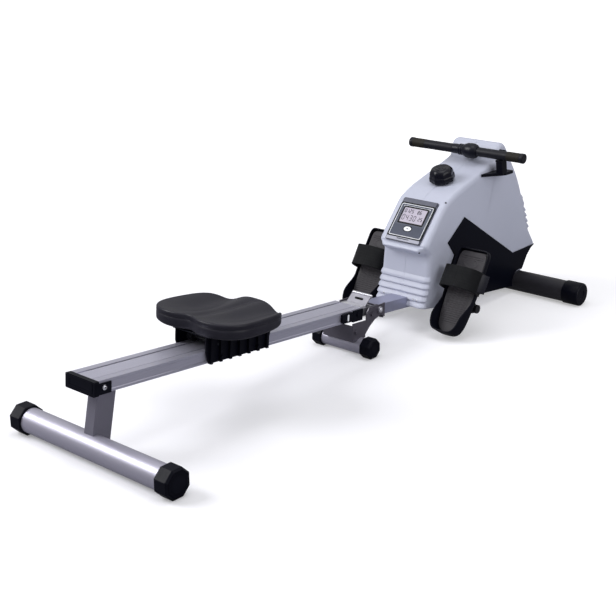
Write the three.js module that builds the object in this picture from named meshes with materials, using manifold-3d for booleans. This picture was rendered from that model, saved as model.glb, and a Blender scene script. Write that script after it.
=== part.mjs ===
import * as THREE from "three";
import { mergeVertices } from "three/addons/utils/BufferGeometryUtils.js";
import Module from "manifold-3d";

// Folding water rowing machine. Millimetres, +Z up, +X from the rear foot to the drum housing,
// +Y to the rower's left. Places along X are first measured from the rear foot tube, and the
// last lines move the whole machine so that X is zero half way along it.

const wasm = await Module();
wasm.setup();

// Clearances, cuts and facets
const seatGap = 0.3;
const cornerLimitShare = 0.45;
const runGap = 1.2;
const overrun = 3;
const fineSides = 24;
const roundSides = 20;
const smallSides = 12;
const arcSteps = 3;

// Rear, middle and front feet
const rearTubeRadius = 32;
const rearCapFlatRadius = 36.5;
const rearCapLength = 42;
const rearFootLength = 562;
const rearFootY = -14;
const midTubeRadius = 24;
const midCapFlatRadius = 28.5;
const midCapLength = 35;
const midFootLength = 213;
const midFootSetback = 85;
const frontTubeRadius = 34;
const frontWheelRadius = 37;
const frontWheelLength = 58;
const frontFootLength = 654;
const frontFootSetback = 95;
const footTubeWall = 2;
const capChamfer = 5;
const capEndWall = 5;
const capSides = 8;
const frontAxleRadius = 6;
const frontHubLength = 26;
const drainRadius = 4;
const footNotchGap = 5;

// Rail, sloping down to the front
const railSlope = Math.atan(0.08);
const railWidth = 97;
const railHeight = 33;
const railRear = -5;
const railFront = 950;
const railWall = 3;
const railGrooveInset = 19;
const railGrooveWidth = 4;
const railGrooveDepth = 2.5;
const railSideRecess = 1.5;
const railSideLip = 6;
const railRibCount = 9;
const railRibDepth = 0.5;
const ribFlankShare = 0.22;

// Rail end caps, bumpers and rear post
const endCapThickness = 14;
const endCapFlangeLength = 36;
const endCapFlangeThickness = 3.2;
const capBoltRadius = 7;
const capBoltHeight = 3;
const capBoltInset = 22;
const collarLength = 40;
const bumperSetback = 92;
const bumperLength = 46;
const bumperHeight = 28;
const bumperThickness = 7;
const postDepth = 55;
const postWidth = 31;
const postWall = 2;
const postLean = THREE.MathUtils.degToRad(12.4);
const postFootX = 15;
const postPlateLength = 76;
const postPlateWidth = 74;
const postPlateThickness = 4;

// Fold hinge and the bracket that carries it on the middle foot
const foldReach = 70;
const foldZ = 115;
const foldDrop = 17.3;
const foldBoltRadius = 6;
const foldBoltHeadRadius = 10;
const foldBoltHeadHeight = 6;
const bracketThickness = 3;
const bracketGap = 3.6;
const bracketRearReach = 35;
const bracketStepReach = 11;
const bracketFrontReach = 1;
const bracketKneeX = 42;
const bracketKneeZ = 22;
const bracketTopRise = 13;
const bracketFloorThickness = 4;
const earThickness = 3;
const earInRail = 50;
const earRadius = 12;
const rampFlatLength = 34;
const rampRise = 27;
const rampCrestLength = 6;
const rampBarRadius = 4;
const rampHalfWidth = 34;
const stopBoltRadius = 6;

// Main frame tube, running under the housing to the front foot
const frameTubeWidth = 58;
const frameTubeHeight = 32;
const frameTubeWall = 2.5;
const frameTubeReach = 26;
const frameTubeRise = 0.8;
const frameSlope = Math.atan(0.095);

// Housing shells. Its outlines are shares of the box that starts at the rear of its neck
const housingReach = 170;
const housingLength = 631;
const housingLowZ = 22;
const housingHeight = 492;
const housingHalfWidth = 88;
const housingRound = 20;
const housingWall = 3;
const housingRoundSteps = 3;
const splitGap = 0.3;
const coverProud = 3;
const coverEdge = 1.5;
const neckRibCount = 5;
const neckRibHeight = 6;
const neckHalfWidth = 70;
const frontRibCount = 6;
const frontRibHeight = 6;
const frontRibHalfWidth = 76;
const lipHalfWidth = 75;
const lipRadius = 14;
const lipShares = [0.019, 0.4614];
const straightLimit = 0.12;
const shortestEdge = 0.8;
const insetPasses = 3;
const neckRibTopShare = 0.2866;
const neckRibPitch = 15;
const frontRibTopShare = 0.6179;
const frontRibPitch = 20;
const ribDropShare = 0.62;
const ribCrestShare = 0.8;
const ribCrestDropShare = 0.3;
const deckRearShares = [0.2456, 0.7663];
const deckFrontShares = [0.5674, 0.8862];
const plateauShares = [0.6086, 0.9715];
const strapSlotHalfWidth = 20;
const strapSlotHalfHeight = 6;
const slotReach = 62;

// Console on the lower slope
const consoleWidth = 127;
const consoleLength = 146;
const consoleDepth = 16;
const consoleShares = [0.0887, 0.6098];
const consoleSlopeDegrees = 48.7;
const consoleRoomHalf = 69;
const consoleRoomHalfWidth = 59.5;
const consoleFaceDepth = 6;
const ovalSteps = 10;
const consoleProud = 2.5;
const consoleWall = 2.5;
const consoleCorner = 6;
const screenWidth = 80;
const screenLength = 48;
const screenShift = 22;
const screenThickness = 3;
const screenRecess = 0.8;
const screenCorner = 1;
const buttonWidth = 26;
const buttonLength = 15;
const buttonShift = -29;
const buttonHeight = 9;
const buttonProud = 3;
const boardLength = 96;
const boardWidth = 92;
const boardThickness = 2;
const boardDepth = 10;

// Resistance knob
const knobDeckShare = 0.271;
const knobRadius = 40;
const knobTopRadius = 33;
const knobHeight = 43;
const knobDome = 5;
const knobPlinth = 5;
const knobPlinthRadius = 42;
const knobStemRadius = 8;
const knobStemShare = 0.5862;
const knobSpoolRadius = 16;
const knobSpoolHeight = 8;
const knobSides = 28;
const knobLobeCount = 8;
const knobLobeRadius = 9;

// Handlebar and its hooks
const barSetback = 51;
const barDrop = 7;
const barLength = 418;
const barTubeRadius = 11;
const gripRadius = 14.5;
const gripCapLength = 12;
const gripRim = 0.8;
const gripWall = 4;
const clampHalfWidth = 44;
const clampBulbStart = -36;
const clampBulbEnd = -8;
const clampNeckStart = 6;
const clampRadius = 24;
const clampNeckRadius = 16;
const clampLugLength = 15;
const clampLugSide = 4;
const clampLugHeight = 14;
const pullAngle = Math.atan(0.11);
const strapWidth = 32;
const strapThickness = 2;
const strapStart = 30;
const hookY = 121;
const hookHalfWidth = 11;
const hookWall = 6;
const hookPostLength = 26;
const hookBaseThickness = 9;
const hookBaseSetback = 45;
const hookBaseLength = 112;
const hookShelfDrop = 66;
const hookArcStart = -96;
const hookArcEnd = 38;
const hookArcSteps = 9;

// Water drum, impeller and brake
const drumShares = [0.5388, 0.4289];
const drumRadius = 116;
const drumHalfWidth = 48;
const drumWall = 4;
const drumFlange = 6;
const drumFlangeThickness = 4;
const drumNeckRadius = 20;
const drumShoulder = 9;
const paddleCount = 8;
const paddleLength = 74;
const paddleHalfWidth = 34;
const paddleThickness = 4;
const hubRadius = 18;
const shaftRadius = 7.5;
const supportGap = 8;
const supportThickness = 4;
const supportHoleRadius = 26;
const supportHoleShares = [-0.725, -0.596];
const bearingRadius = 17;
const bearingThickness = 10;
const smallPulleyRadius = 16;
const pulleyGap = 2;
const flywheelRadius = 92;
const flywheelThickness = 8;
const brakeArcDegrees = 62;
const brakeRimGap = 4;
const brakeThickness = 12;
const brakePivotRadius = 5;
const brakeJawHalfWidth = 9;
const brakeRearDegrees = 162;
const brakeCheek = 3;
const brakeSteps = 10;

// Drive shaft, spool, belt pulley and return spring
const shaftClearance = 2.2;
const shaftAngleDegrees = 32.82;
const pulleyRadius = 66;
const pulleyThickness = 12;
const pulleyHubRadius = 14;
const pulleyRimWidth = 7;
const pulleyWeb = 4;
const pulleyHoleCount = 6;
const beltThickness = 2.5;
const beltWidth = 9;
const spoolFlangeRadius = 40;
const spoolFlangeThickness = 2.5;
const spoolInnerHalfWidth = 18;
const spoolWoundRadius = 34;
const spoolHubRadius = 17;
const clutchRadius = 13;
const springTurns = 5;
const springInnerRadius = 18.6;
const springPitch = 3.8;
const springThickness = 1.4;
const springStepsPerTurn = 12;
const springStart = 22;
const springEnd = 34;
const springPinRadius = 3;
const rollerSetback = 18;
const rollerRadius = 11;
const rollerHalfWidth = 20;
const rollerAxleRadius = 4;
const rollerBossInner = 22;
const rollerBossThickness = 5;
const rollerBossLength = 20;
const rollerBossSink = 0.5;
const strapBendSteps = 12;
const beltLargeSteps = 18;
const beltSmallSteps = 8;
const cableRadius = 2;
const cableSides = 8;
const cableSteps = 20;
const cableBend = 14;
const cableEndShares = [-0.587, 1.09];

// Footplates, one each side of the frame tube
const pedalInset = 100;
const pedalDrop = 13.62;
const pedalAxleRadius = 7;
const pedalAxleHalfLength = 217;
const pedalY = 167;
const pedalAngle = THREE.MathUtils.degToRad(58);
const soleHeel = -104;
const soleToe = 167;
const soleBallHalfWidth = 55;
const soleBottom = 31;
const soleThickness = 6;
const soleRimHeight = 7;
const soleRimWidth = 9;
const heelCupHeight = 44;
const heelCupLength = 116;
const treadThickness = 5;
const treadGrooveCount = 9;
const treadGrooveDepth = 2;
const treadGroovePlain = 44;
const treadGrooveShare = 0.35;
const treadGrooveWide = 0.72;
const lugHalfSpacing = 31;
const lugThickness = 9;
const lugRadius = 15;
const lugFootHalf = 30;
const strapBandWidth = 68;
const strapBandHeight = 50;
const strapBandThickness = 3.5;
const strapBandX = 64;
const strapBandSteps = 8;
const strapBandSpread = 3;
const strapBandRise = 8;
const strapBandPower = 0.75;

// Seat, carriage and rollers
const seatX = 432;
const seatHalfLength = 132;
const seatHalfWidth = 154;
const seatRim = 85;
const seatDishDepth = 20;
const seatValleyDepth = 9;
const seatValleyWidth = 20;
const seatLobeY = 68;
const seatLobeWidth = 52;
const seatLobeLength = 95;
const seatEdgeRound = 7;
const seatCrestShare = 0.94;
const seatUnderShare = 0.9;
const seatFlankShare = 0.75;
const seatShoulderShare = 0.985;
const seatFlankDrop = 10.5;
const seatSquareness = 3.3;
const seatRings = 7;
const seatSpokes = 40;
const seatFrontShare = 0.84;
const thighDipDepth = 18;
const thighDipY = 85;
const thighDipWidth = 35;
const thighDipLength = 75;
const rearNotchDepth = 15;
const notchHalfAngle = 0.4;
const carriageShift = 11;
const carriageHalfLength = 117;
const carriageHalfWidth = 63;
const carriageTop = 43;
const carriageDeck = 7;
const carriageSkirtDrop = 33;
const carriageFinCount = 7;
const carriageSideGap = 2.4;
const carriageWall = 4;
const carriageShoulderZ = 8;
const carriageFoot = 12;
const carriageFinWidth = 8;
const carriageFinSetback = 1;
const carriageEdgeRound = 1;
const carriageStudProud = 2;
const wheelRadius = 13;
const wheelHalfWidth = 9;
const wheelTrackY = 38.5;
const wheelAxleRadius = 5;
const wheelAxleX = 72;

// The lower cover as shares of the housing's length and height
const coverShares = [
  [0.206, 0.0732],
  [0.2124, 0.3089],
  [0.2472, 0.3821],
  [0.1886, 0.4756],
  [0.3249, 0.6037],
  [0.7861, 0.2419],
  [0.9984, 0.2459],
  [0.9604, 0.2256],
  [0.9239, 0.1829],
  [0.8906, 0.1159],
  [0.8082, 0.0041],
  [0.5404, 0.0427],
];

// The support plate round the drum's centre, as shares of the two shafts' distances
const supportFootShares = [-1.145, 0.507];
const supportShares = [
  [0.217, -0.124],
  [0.159, 0.326],
  [-0.435, 1.225],
  [-0.942, 1.382],
  [-1.174, 1.27],
  [-1.217, 0.753],
];

// The housing from the side, before and after the console's slope: up the neck, then over the
// deck, the plateau and the front face. The third share, of the rounding, is for the edge that
// runs from the point to the next one.
const neckShares = [
  [0, 0.1077, 1],
  [0.0127, 0.1667, 1],
  [0.038, 0.2683, 1],
  [0.0507, 0.4309, 0.7],
];
const slopeRoundShare = 1;
const bodyShares = [
  [...deckRearShares, 1],
  [...deckFrontShares, 0.9],
  [0.5959, 0.9024, 0.6],
  [...plateauShares, 0.7],
  [0.6244, 0.998, 0.9],
  [0.6593, 1, 0.9],
  [0.6878, 0.9614, 1],
  [0.729, 0.8862, 1],
  [0.7829, 0.7967, 1],
  [0.8257, 0.7053, 1],
  [0.8732, 0.5732, 1],
  [0.9398, 0.3659, 0.9],
  [0.9937, 0.2764, 0.5],
  [1, 0.2459, 0.1],
  [0.9604, 0.2236, 0.1],
  [0.9239, 0.1809, 0.1],
  [0.8906, 0.1138, 0.1],
  [0.8082, 0, 0.1],
  [0.5404, 0.0407, 0.1],
  [0.0792, 0.0894, 0.1],
];

// A foot seen from above, from heel to toe: shares of its length and of its half width
const soleShares = [
  [0, 0.4],
  [0.026, 0.67],
  [0.089, 0.855],
  [0.221, 0.945],
  [0.458, 1],
  [0.771, 1],
  [0.937, 0.98],
  [0.985, 0.91],
  [1, 0.76],
];

// Places that follow from these sizes
const foldX = railFront + foldReach;
const railTopAtRear = foldZ + foldDrop + foldX * Math.tan(railSlope);
const bumperX = railFront - bumperSetback;
const midFootX = foldX - midFootSetback;
const frameTubeRearX = foldX + frameTubeReach;
const frameTubeTopZ = foldZ + frameTubeRise;
const housingPlace = ([along, up]) => [
  foldX + housingReach + housingLength * along,
  housingLowZ + housingHeight * up,
];
const frontFootX = foldX + housingReach + housingLength - frontFootSetback;
const [lipX, lipZ] = housingPlace(lipShares);
const [deckRearX, deckRearZ] = housingPlace(deckRearShares);
const [deckFrontX, deckFrontZ] = housingPlace(deckFrontShares);
const [plateauX, plateauZ] = housingPlace(plateauShares);
const [consoleX, consoleZ] = housingPlace(consoleShares);
const [drumX, drumZ] = housingPlace(drumShares);
const neckRibTop = housingLowZ + housingHeight * neckRibTopShare;
const frontRibTop = housingLowZ + housingHeight * frontRibTopShare;
const knobX = deckRearX + (deckFrontX - deckRearX) * knobDeckShare;
const knobZ = deckRearZ + (deckFrontZ - deckRearZ) * knobDeckShare + knobPlinth;
const barX = plateauX - barSetback;
const barZ = plateauZ - barDrop;
const rollerX = plateauX + rollerSetback;
const rollerBossTop = housingLowZ + housingHeight - housingWall + rollerBossSink;
const hookBaseX = barX - hookBaseSetback;
const hookShelfZ = barZ - hookShelfDrop;
const shaftDistance = drumRadius + drumFlange + spoolFlangeRadius + shaftClearance;
const shaftAngle = THREE.MathUtils.degToRad(shaftAngleDegrees);
const driveSetback = shaftDistance * Math.cos(shaftAngle);
const driveRise = shaftDistance * Math.sin(shaftAngle);
const driveX = drumX - driveSetback;
const driveZ = drumZ + driveRise;
const knobStemLength = (knobZ - driveZ - spoolFlangeRadius) * knobStemShare;
const byShafts = ([along, up]) => [drumX + driveSetback * along, drumZ + driveRise * up];
const [supportHoleX, supportHoleZ] = byShafts(supportHoleShares);
const [cableEndX, cableEndZ] = byShafts(cableEndShares);
const pedalX = foldX + housingReach + pedalInset;
const pedalZ = frameTubeTopZ - (pedalX - frameTubeRearX) * Math.tan(frameSlope) - pedalDrop;

// Finishes
function finish(color, roughness, metalness) {
  return new THREE.MeshStandardMaterial({ color, roughness, metalness });
}
const silverPaint = finish(0x9b9aa6, 0.38, 0.55);
const greyPaint = finish(0x77757f, 0.45, 0.4);
const darkPaint = finish(0x4c4a52, 0.4, 0.45);
const anodised = finish(0xa9a9b4, 0.35, 0.8);
const zinc = finish(0xd5d6da, 0.22, 0.95);
const steel = finish(0x8d8f94, 0.32, 0.95);
const blackPlastic = finish(0x191a1e, 0.5, 0);
const coverPlastic = finish(0x20232b, 0.42, 0);
const shellPlastic = finish(0xc9ccd8, 0.45, 0);
const consolePlastic = finish(0x6d7282, 0.4, 0);
const screenGlass = finish(0xc6bfcb, 0.15, 0);
const buttonPlastic = finish(0xf2f3f6, 0.3, 0);
const boardGreen = finish(0x1f5a38, 0.5, 0);
const treadRubber = finish(0x4b4b54, 0.8, 0);
const strapWeb = finish(0x17181c, 0.85, 0);
const gripFoam = finish(0x26262a, 0.9, 0);
const seatFoam = finish(0x2b2a30, 0.6, 0);
const clearPlastic = finish(0xb9c6cf, 0.12, 0);
const rollerPlastic = finish(0x2a2b30, 0.35, 0);
const beltRubber = finish(0x101012, 0.8, 0);

// Closed mesh to solid, and back
function solid(geometry) {
  const bare = geometry.clone();
  bare.deleteAttribute("normal");
  bare.deleteAttribute("uv");
  const merged = mergeVertices(bare);
  const vertProperties = new Float32Array(merged.attributes.position.array);
  const triVerts = new Uint32Array(merged.index.array);
  return new wasm.Manifold(new wasm.Mesh({ numProp: 3, vertProperties, triVerts }));
}

function geometryOf(body) {
  const mesh = body.getMesh();
  const geometry = new THREE.BufferGeometry();
  geometry.setAttribute("position", new THREE.BufferAttribute(new Float32Array(mesh.vertProperties), 3));
  geometry.setIndex(new THREE.BufferAttribute(new Uint32Array(mesh.triVerts), 1));
  geometry.computeVertexNormals();
  return geometry;
}

const joined = (first, ...others) => others.reduce((body, other) => body.add(solid(other)), solid(first));
const cutBy = (body, ...tools) => tools.reduce((rest, tool) => rest.subtract(solid(tool)), body);

function addPart(parent, name, shape, material) {
  const geometry = geometryOf(shape.isBufferGeometry ? solid(shape) : shape);
  const mesh = new THREE.Mesh(geometry, material);
  mesh.name = name;
  parent.add(mesh);
  return mesh;
}

// The same piece on the other side of the centre plane
function mirrored(shape) {
  const copy = geometryOf(shape.isBufferGeometry ? solid(shape) : shape);
  copy.scale(1, -1, 1);
  const corners = copy.index.array;
  for (let i = 0; i < corners.length; i += 3) {
    [corners[i], corners[i + 1]] = [corners[i + 1], corners[i]];
  }
  copy.computeVertexNormals();
  return copy;
}

const polygon = (points) => new THREE.Shape(points.map(([a, b]) => new THREE.Vector2(a, b)));

// A closed outline whose corners are rounded with short curves
function roundedPolygon(points, radius) {
  const shape = new THREE.Shape();
  points.forEach((point, i) => {
    const corner = new THREE.Vector2(...point);
    const before = new THREE.Vector2(...points.at(i - 1)).sub(corner);
    const after = new THREE.Vector2(...points[(i + 1) % points.length]).sub(corner);
    const enter = before.clone().setLength(Math.min(radius, before.length() * cornerLimitShare)).add(corner);
    const leave = after.clone().setLength(Math.min(radius, after.length() * cornerLimitShare)).add(corner);
    if (i === 0) {
      shape.moveTo(enter.x, enter.y);
    } else {
      shape.lineTo(enter.x, enter.y);
    }
    shape.quadraticCurveTo(corner.x, corner.y, leave.x, leave.y);
  });
  return shape;
}

const rectangle = (a0, a1, b0, b1) => polygon([[a0, b0], [a1, b0], [a1, b1], [a0, b1]]);

// Extrusions: an outline in X and Z carried along Y, in X and Y along Z, and in Y and Z along X
function alongY(shape, fromY, toY, bevel = { bevelEnabled: false }) {
  const options = { depth: toY - fromY, curveSegments: arcSteps, ...bevel };
  return new THREE.ExtrudeGeometry(shape, options).rotateX(Math.PI / 2).translate(0, toY, 0);
}

function alongZ(shape, fromZ, toZ, bevel = { bevelEnabled: false }) {
  const options = { depth: toZ - fromZ, curveSegments: arcSteps, ...bevel };
  return new THREE.ExtrudeGeometry(shape, options).translate(0, 0, fromZ);
}

function alongX(shape, fromX, toX) {
  const options = { depth: toX - fromX, curveSegments: arcSteps, bevelEnabled: false };
  const turn = new THREE.Matrix4().makeBasis(
    new THREE.Vector3(0, 1, 0),
    new THREE.Vector3(0, 0, 1),
    new THREE.Vector3(1, 0, 0),
  );
  return new THREE.ExtrudeGeometry(shape, options).applyMatrix4(turn).translate(fromX, 0, 0);
}

const block = (x0, x1, y0, y1, z0, z1) => alongZ(rectangle(x0, x1, y0, y1), z0, z1);

function rodY(radius, fromY, toY, x = 0, z = 0, sides = roundSides) {
  const rod = new THREE.CylinderGeometry(radius, radius, toY - fromY, sides);
  return rod.translate(x, (fromY + toY) / 2, z);
}

function rodZ(radius, fromZ, toZ, sides = roundSides) {
  const rod = new THREE.CylinderGeometry(radius, radius, toZ - fromZ, sides);
  return rod.rotateX(Math.PI / 2).translate(0, 0, (fromZ + toZ) / 2);
}

// A profile of [radius, height] pairs turned about Y
function turnedY(profile, sides = roundSides) {
  return new THREE.LatheGeometry(profile.map(([r, y]) => new THREE.Vector2(r, y)), sides);
}

// Frames of reference
const machine = new THREE.Group();
const railGroup = new THREE.Group();
railGroup.position.set(0, 0, railTopAtRear);
railGroup.rotation.y = railSlope;
railGroup.updateMatrix();
machine.add(railGroup);
const railToWorld = railGroup.matrix;
const worldToRail = railToWorld.clone().invert();
const railPoint = (x, z) => new THREE.Vector3(x, 0, z).applyMatrix4(worldToRail);
const railTopZ = (x) => railTopAtRear - x * Math.tan(railSlope);

// Feet: a tube lying across the machine with a cap pressed on each end
function footTube(radius, length, capWall, x) {
  const half = length / 2 - capWall - seatGap;
  const outer = solid(rodY(radius, -half, half, x, 0, fineSides));
  return cutBy(outer, rodY(radius - footTubeWall, -half - overrun, half + overrun, x, 0, fineSides));
}

// An eight-sided cap with one flat down, chamfered end and a socket for the tube
function footCap(flatRadius, tubeRadius, length, capLength) {
  const cornerRadius = flatRadius / Math.cos(Math.PI / capSides);
  const end = length / 2;
  const profile = [
    [0, end - capLength],
    [cornerRadius - capChamfer / 2, end - capLength],
    [cornerRadius, end - capLength + capChamfer / 2],
    [cornerRadius, end - capChamfer],
    [cornerRadius - capChamfer, end],
    [0, end],
  ];
  const cap = turnedY(profile, capSides).rotateY(Math.PI / capSides);
  const socket = rodY(tubeRadius + seatGap, end - capLength - overrun, end - capEndWall, 0, 0, fineSides);
  return cutBy(solid(cap), socket);
}

function addFoot(parent, prefix, x, z, sizes) {
  const group = new THREE.Group();
  group.position.set(x, 0, z);
  parent.add(group);
  const cap = footCap(sizes.flatRadius, sizes.tubeRadius, sizes.length, sizes.capLength);
  addPart(group, `${prefix}_cap_left`, cap, blackPlastic);
  addPart(group, `${prefix}_cap_right`, mirrored(cap), blackPlastic);
  return group;
}

const rearFootZ = rearCapFlatRadius;
const rearFoot = addFoot(machine, "rear", 0, rearFootZ, {
  flatRadius: rearCapFlatRadius,
  tubeRadius: rearTubeRadius,
  length: rearFootLength,
  capLength: rearCapLength,
});
rearFoot.position.y = rearFootY;
const rearTube = footTube(rearTubeRadius, rearFootLength, capEndWall, 0);
addPart(rearFoot, "rear_stabiliser_tube", rearTube, silverPaint);

const midFootZ = midCapFlatRadius;
const midFoot = addFoot(machine, "middle", midFootX, midFootZ, {
  flatRadius: midCapFlatRadius,
  tubeRadius: midTubeRadius,
  length: midFootLength,
  capLength: midCapLength,
});
const midTube = footTube(midTubeRadius, midFootLength, capEndWall, 0);
addPart(midFoot, "middle_stabiliser_tube", midTube, silverPaint);

// Front foot: round end caps that turn on axles fixed in the tube, to roll the folded machine
const frontFootZ = frontWheelRadius;
const frontFoot = new THREE.Group();
frontFoot.position.set(frontFootX, 0, frontFootZ);
machine.add(frontFoot);
const frontHalf = frontFootLength / 2;
const frontTubeHalf = frontHalf - capEndWall - runGap;
const frontAxleInner = frontTubeHalf - frontHubLength;

function frontTube() {
  const outer = solid(rodY(frontTubeRadius, -frontTubeHalf, frontTubeHalf, 0, 0, fineSides));
  const far = frontTubeHalf + overrun;
  const bore = rodY(frontTubeRadius - footTubeWall, -far, far, 0, 0, fineSides);
  const hollow = cutBy(outer, bore);
  const plug = (side) => {
    const inner = side * frontAxleInner;
    const outerEnd = side * (frontTubeHalf - footTubeWall);
    const [low, high] = [Math.min(inner, outerEnd), Math.max(inner, outerEnd)];
    return rodY(frontTubeRadius - footTubeWall / 2, low, high, 0, 0, fineSides);
  };
  const axle = (side) => {
    const inner = side * frontAxleInner;
    const outerEnd = side * (frontHalf - seatGap);
    return rodY(frontAxleRadius, Math.min(inner, outerEnd), Math.max(inner, outerEnd), 0, 0, smallSides);
  };
  const body = [plug(1), plug(-1), axle(1), axle(-1)].reduce((rest, piece) => rest.add(solid(piece)), hollow);
  return cutBy(body, rodZ(drainRadius, -frontTubeRadius - overrun, 0, smallSides));
}

function frontWheel() {
  const start = frontHalf - frontWheelLength;
  const profile = [
    [0, start],
    [frontWheelRadius - capChamfer / 2, start],
    [frontWheelRadius, start + capChamfer / 2],
    [frontWheelRadius, frontHalf - capChamfer],
    [frontWheelRadius - capChamfer, frontHalf],
    [0, frontHalf],
  ];
  const socket = rodY(frontTubeRadius + runGap, start - overrun, frontHalf - capEndWall, 0, 0, fineSides);
  const bore = rodY(frontAxleRadius + seatGap, start, frontHalf + overrun, 0, 0, smallSides);
  return cutBy(solid(turnedY(profile, fineSides)), socket, bore);
}

addPart(frontFoot, "front_stabiliser_tube", frontTube(), darkPaint);
addPart(frontFoot, "front_wheel_left", frontWheel(), blackPlastic);
addPart(frontFoot, "front_wheel_right", mirrored(frontWheel()), blackPlastic);

// Rail: a wide flat extrusion with a track groove near each edge and two hollows
function railOutline() {
  const half = railWidth / 2;
  const inset = half - railGrooveInset;
  const inner = inset - railGrooveWidth;
  const ribPitch = (2 * inner) / railRibCount;
  const waist = half - railSideRecess;
  const points = [
    [-half, -railHeight],
    [half, -railHeight],
    [half, railSideLip - railHeight],
    [waist, railSideLip + railSideRecess - railHeight],
    [waist, -railSideLip - railSideRecess],
    [half, -railSideLip],
    [half, 0],
    [inset, 0],
    [inset, -railGrooveDepth],
    [inner, -railGrooveDepth],
  ];
  for (let i = 0; i < railRibCount; i += 1) {
    const right = inner - i * ribPitch;
    points.push([right - ribPitch * ribFlankShare, -railRibDepth]);
    points.push([right - ribPitch * (1 - ribFlankShare), -railRibDepth]);
    if (i < railRibCount - 1) {
      points.push([right - ribPitch, -railRibDepth * 2]);
    }
  }
  points.push([-inner, -railGrooveDepth]);
  points.push([-inset, -railGrooveDepth]);
  points.push([-inset, 0]);
  points.push([-half, 0]);
  points.push([-half, -railSideLip]);
  points.push([-waist, -railSideLip - railSideRecess]);
  points.push([-waist, railSideLip + railSideRecess - railHeight]);
  points.push([-half, railSideLip - railHeight]);
  return polygon(points);
}

const railHollowHalf = railWidth / 2 - railWall - railSideRecess;
const railHollowTop = -railGrooveDepth - railWall;
const railHollowBottom = railWall - railHeight;

function rail() {
  const web = railWall / 2;
  const start = railRear - overrun;
  const end = railFront + overrun;
  const left = block(start, end, web, railHollowHalf, railHollowBottom, railHollowTop);
  const right = block(start, end, -railHollowHalf, -web, railHollowBottom, railHollowTop);
  return cutBy(solid(alongX(railOutline(), railRear, railFront)), left, right);
}
addPart(railGroup, "rail", rail(), anodised);

// Rear end cap: a plate over the rail end with side flanges and a plug in each hollow
function railEndCap() {
  const outer = railWidth / 2 + endCapFlangeThickness;
  const back = railRear - endCapThickness;
  const start = railRear - endCapThickness / 2;
  const end = railRear + endCapFlangeLength;
  const low = -railHeight - endCapFlangeThickness;
  const corners = [[-outer, low], [outer, low], [outer, 0], [-outer, 0]];
  const plate = alongX(roundedPolygon(corners, endCapFlangeThickness), back, railRear - seatGap);
  const near = railWidth / 2 + seatGap;
  const flange = block(start, end, near, outer, -railHeight, -railSideLip);
  const head = outer + capBoltHeight;
  const boltX = railRear + capBoltInset;
  const bolt = rodY(capBoltRadius, near, head, boltX, -railHeight / 2, smallSides);
  const plugEnd = railRear + endCapFlangeLength / 2;
  const plugLow = railHollowBottom + seatGap;
  const plugTop = railHollowTop - seatGap;
  const plug = block(start, plugEnd, railWall / 2 + seatGap, railHollowHalf - seatGap, plugLow, plugTop);
  return joined(plate, flange, mirrored(flange), bolt, mirrored(bolt), plug, mirrored(plug));
}
addPart(railGroup, "rail_end_cap", railEndCap(), blackPlastic);

// Front collar: a plastic band round the sides and bottom of the rail's front end
function railCollar() {
  const half = railWidth / 2;
  const outer = half + endCapFlangeThickness;
  const low = -railHeight - endCapFlangeThickness;
  const start = railFront - collarLength;
  const end = railFront + endCapFlangeThickness;
  const band = alongX(rectangle(-outer, outer, low, -railSideLip / 2), start, end);
  const near = half + seatGap;
  const room = block(start - overrun, railFront + seatGap, -near, near, -railHeight - seatGap, overrun);
  const mouth = block(start, end + overrun, -railHollowHalf, railHollowHalf, railHollowBottom, overrun);
  const head = outer + capBoltHeight;
  const bolt = rodY(capBoltRadius, near, head, start + capBoltInset, -railHeight / 2, smallSides);
  return cutBy(solid(band), room, mouth).add(solid(bolt)).add(solid(mirrored(bolt)));
}
addPart(railGroup, "rail_front_collar", railCollar(), blackPlastic);

// Bumpers that stop the carriage, one on each side of the rail
function railBumper() {
  const inner = railWidth / 2 + seatGap;
  const top = -railSideLip / 2;
  const low = top - bumperHeight;
  const end = bumperX + bumperLength;
  const corners = [[bumperX, low], [end, low], [end, top], [bumperX, top]];
  return solid(alongY(roundedPolygon(corners, bumperThickness), inner, inner + bumperThickness));
}
addPart(railGroup, "rail_bumper_left", railBumper(), blackPlastic);
addPart(railGroup, "rail_bumper_right", mirrored(railBumper()), blackPlastic);

// Rear post: a box tube leaning forward, saddled on the foot tube and plated under the rail
function rearPost() {
  const half = postDepth / 2;
  const side = postWidth / 2;
  const wide = side + overrun;
  const far = 2 * postDepth;
  const lean = (geometry) => geometry.rotateY(postLean).translate(postFootX, 0, rearFootZ);
  const tube = lean(block(-half, half, -side, side, 0, railTopAtRear));
  const inner = side - postWall;
  const wall = half - postWall;
  const bore = lean(block(-wall, wall, -inner, inner, -overrun, railTopAtRear + overrun));
  const saddle = rodY(rearTubeRadius + seatGap, -wide, wide, 0, rearFootZ, fineSides);
  const below = block(-far, far, -wide, wide, -overrun, rearFootZ);
  const plateTop = -railHeight - seatGap;
  const above = block(-far, 2 * far, -wide, wide, plateTop - postPlateThickness / 2, railTopAtRear);
  above.applyMatrix4(railToWorld);
  const topRise = railTopAtRear - rearFootZ - railHeight;
  const middle = railPoint(postFootX + topRise * Math.tan(postLean), railTopAtRear).x;
  const start = middle - postPlateLength / 2;
  const plateHalf = postPlateWidth / 2;
  const plateLow = plateTop - postPlateThickness;
  const plate = block(start, start + postPlateLength, -plateHalf, plateHalf, plateLow, plateTop);
  plate.applyMatrix4(railToWorld);
  return cutBy(solid(tube), bore, saddle, below, above).add(solid(plate));
}
addPart(machine, "rear_post", rearPost(), silverPaint);

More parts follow.
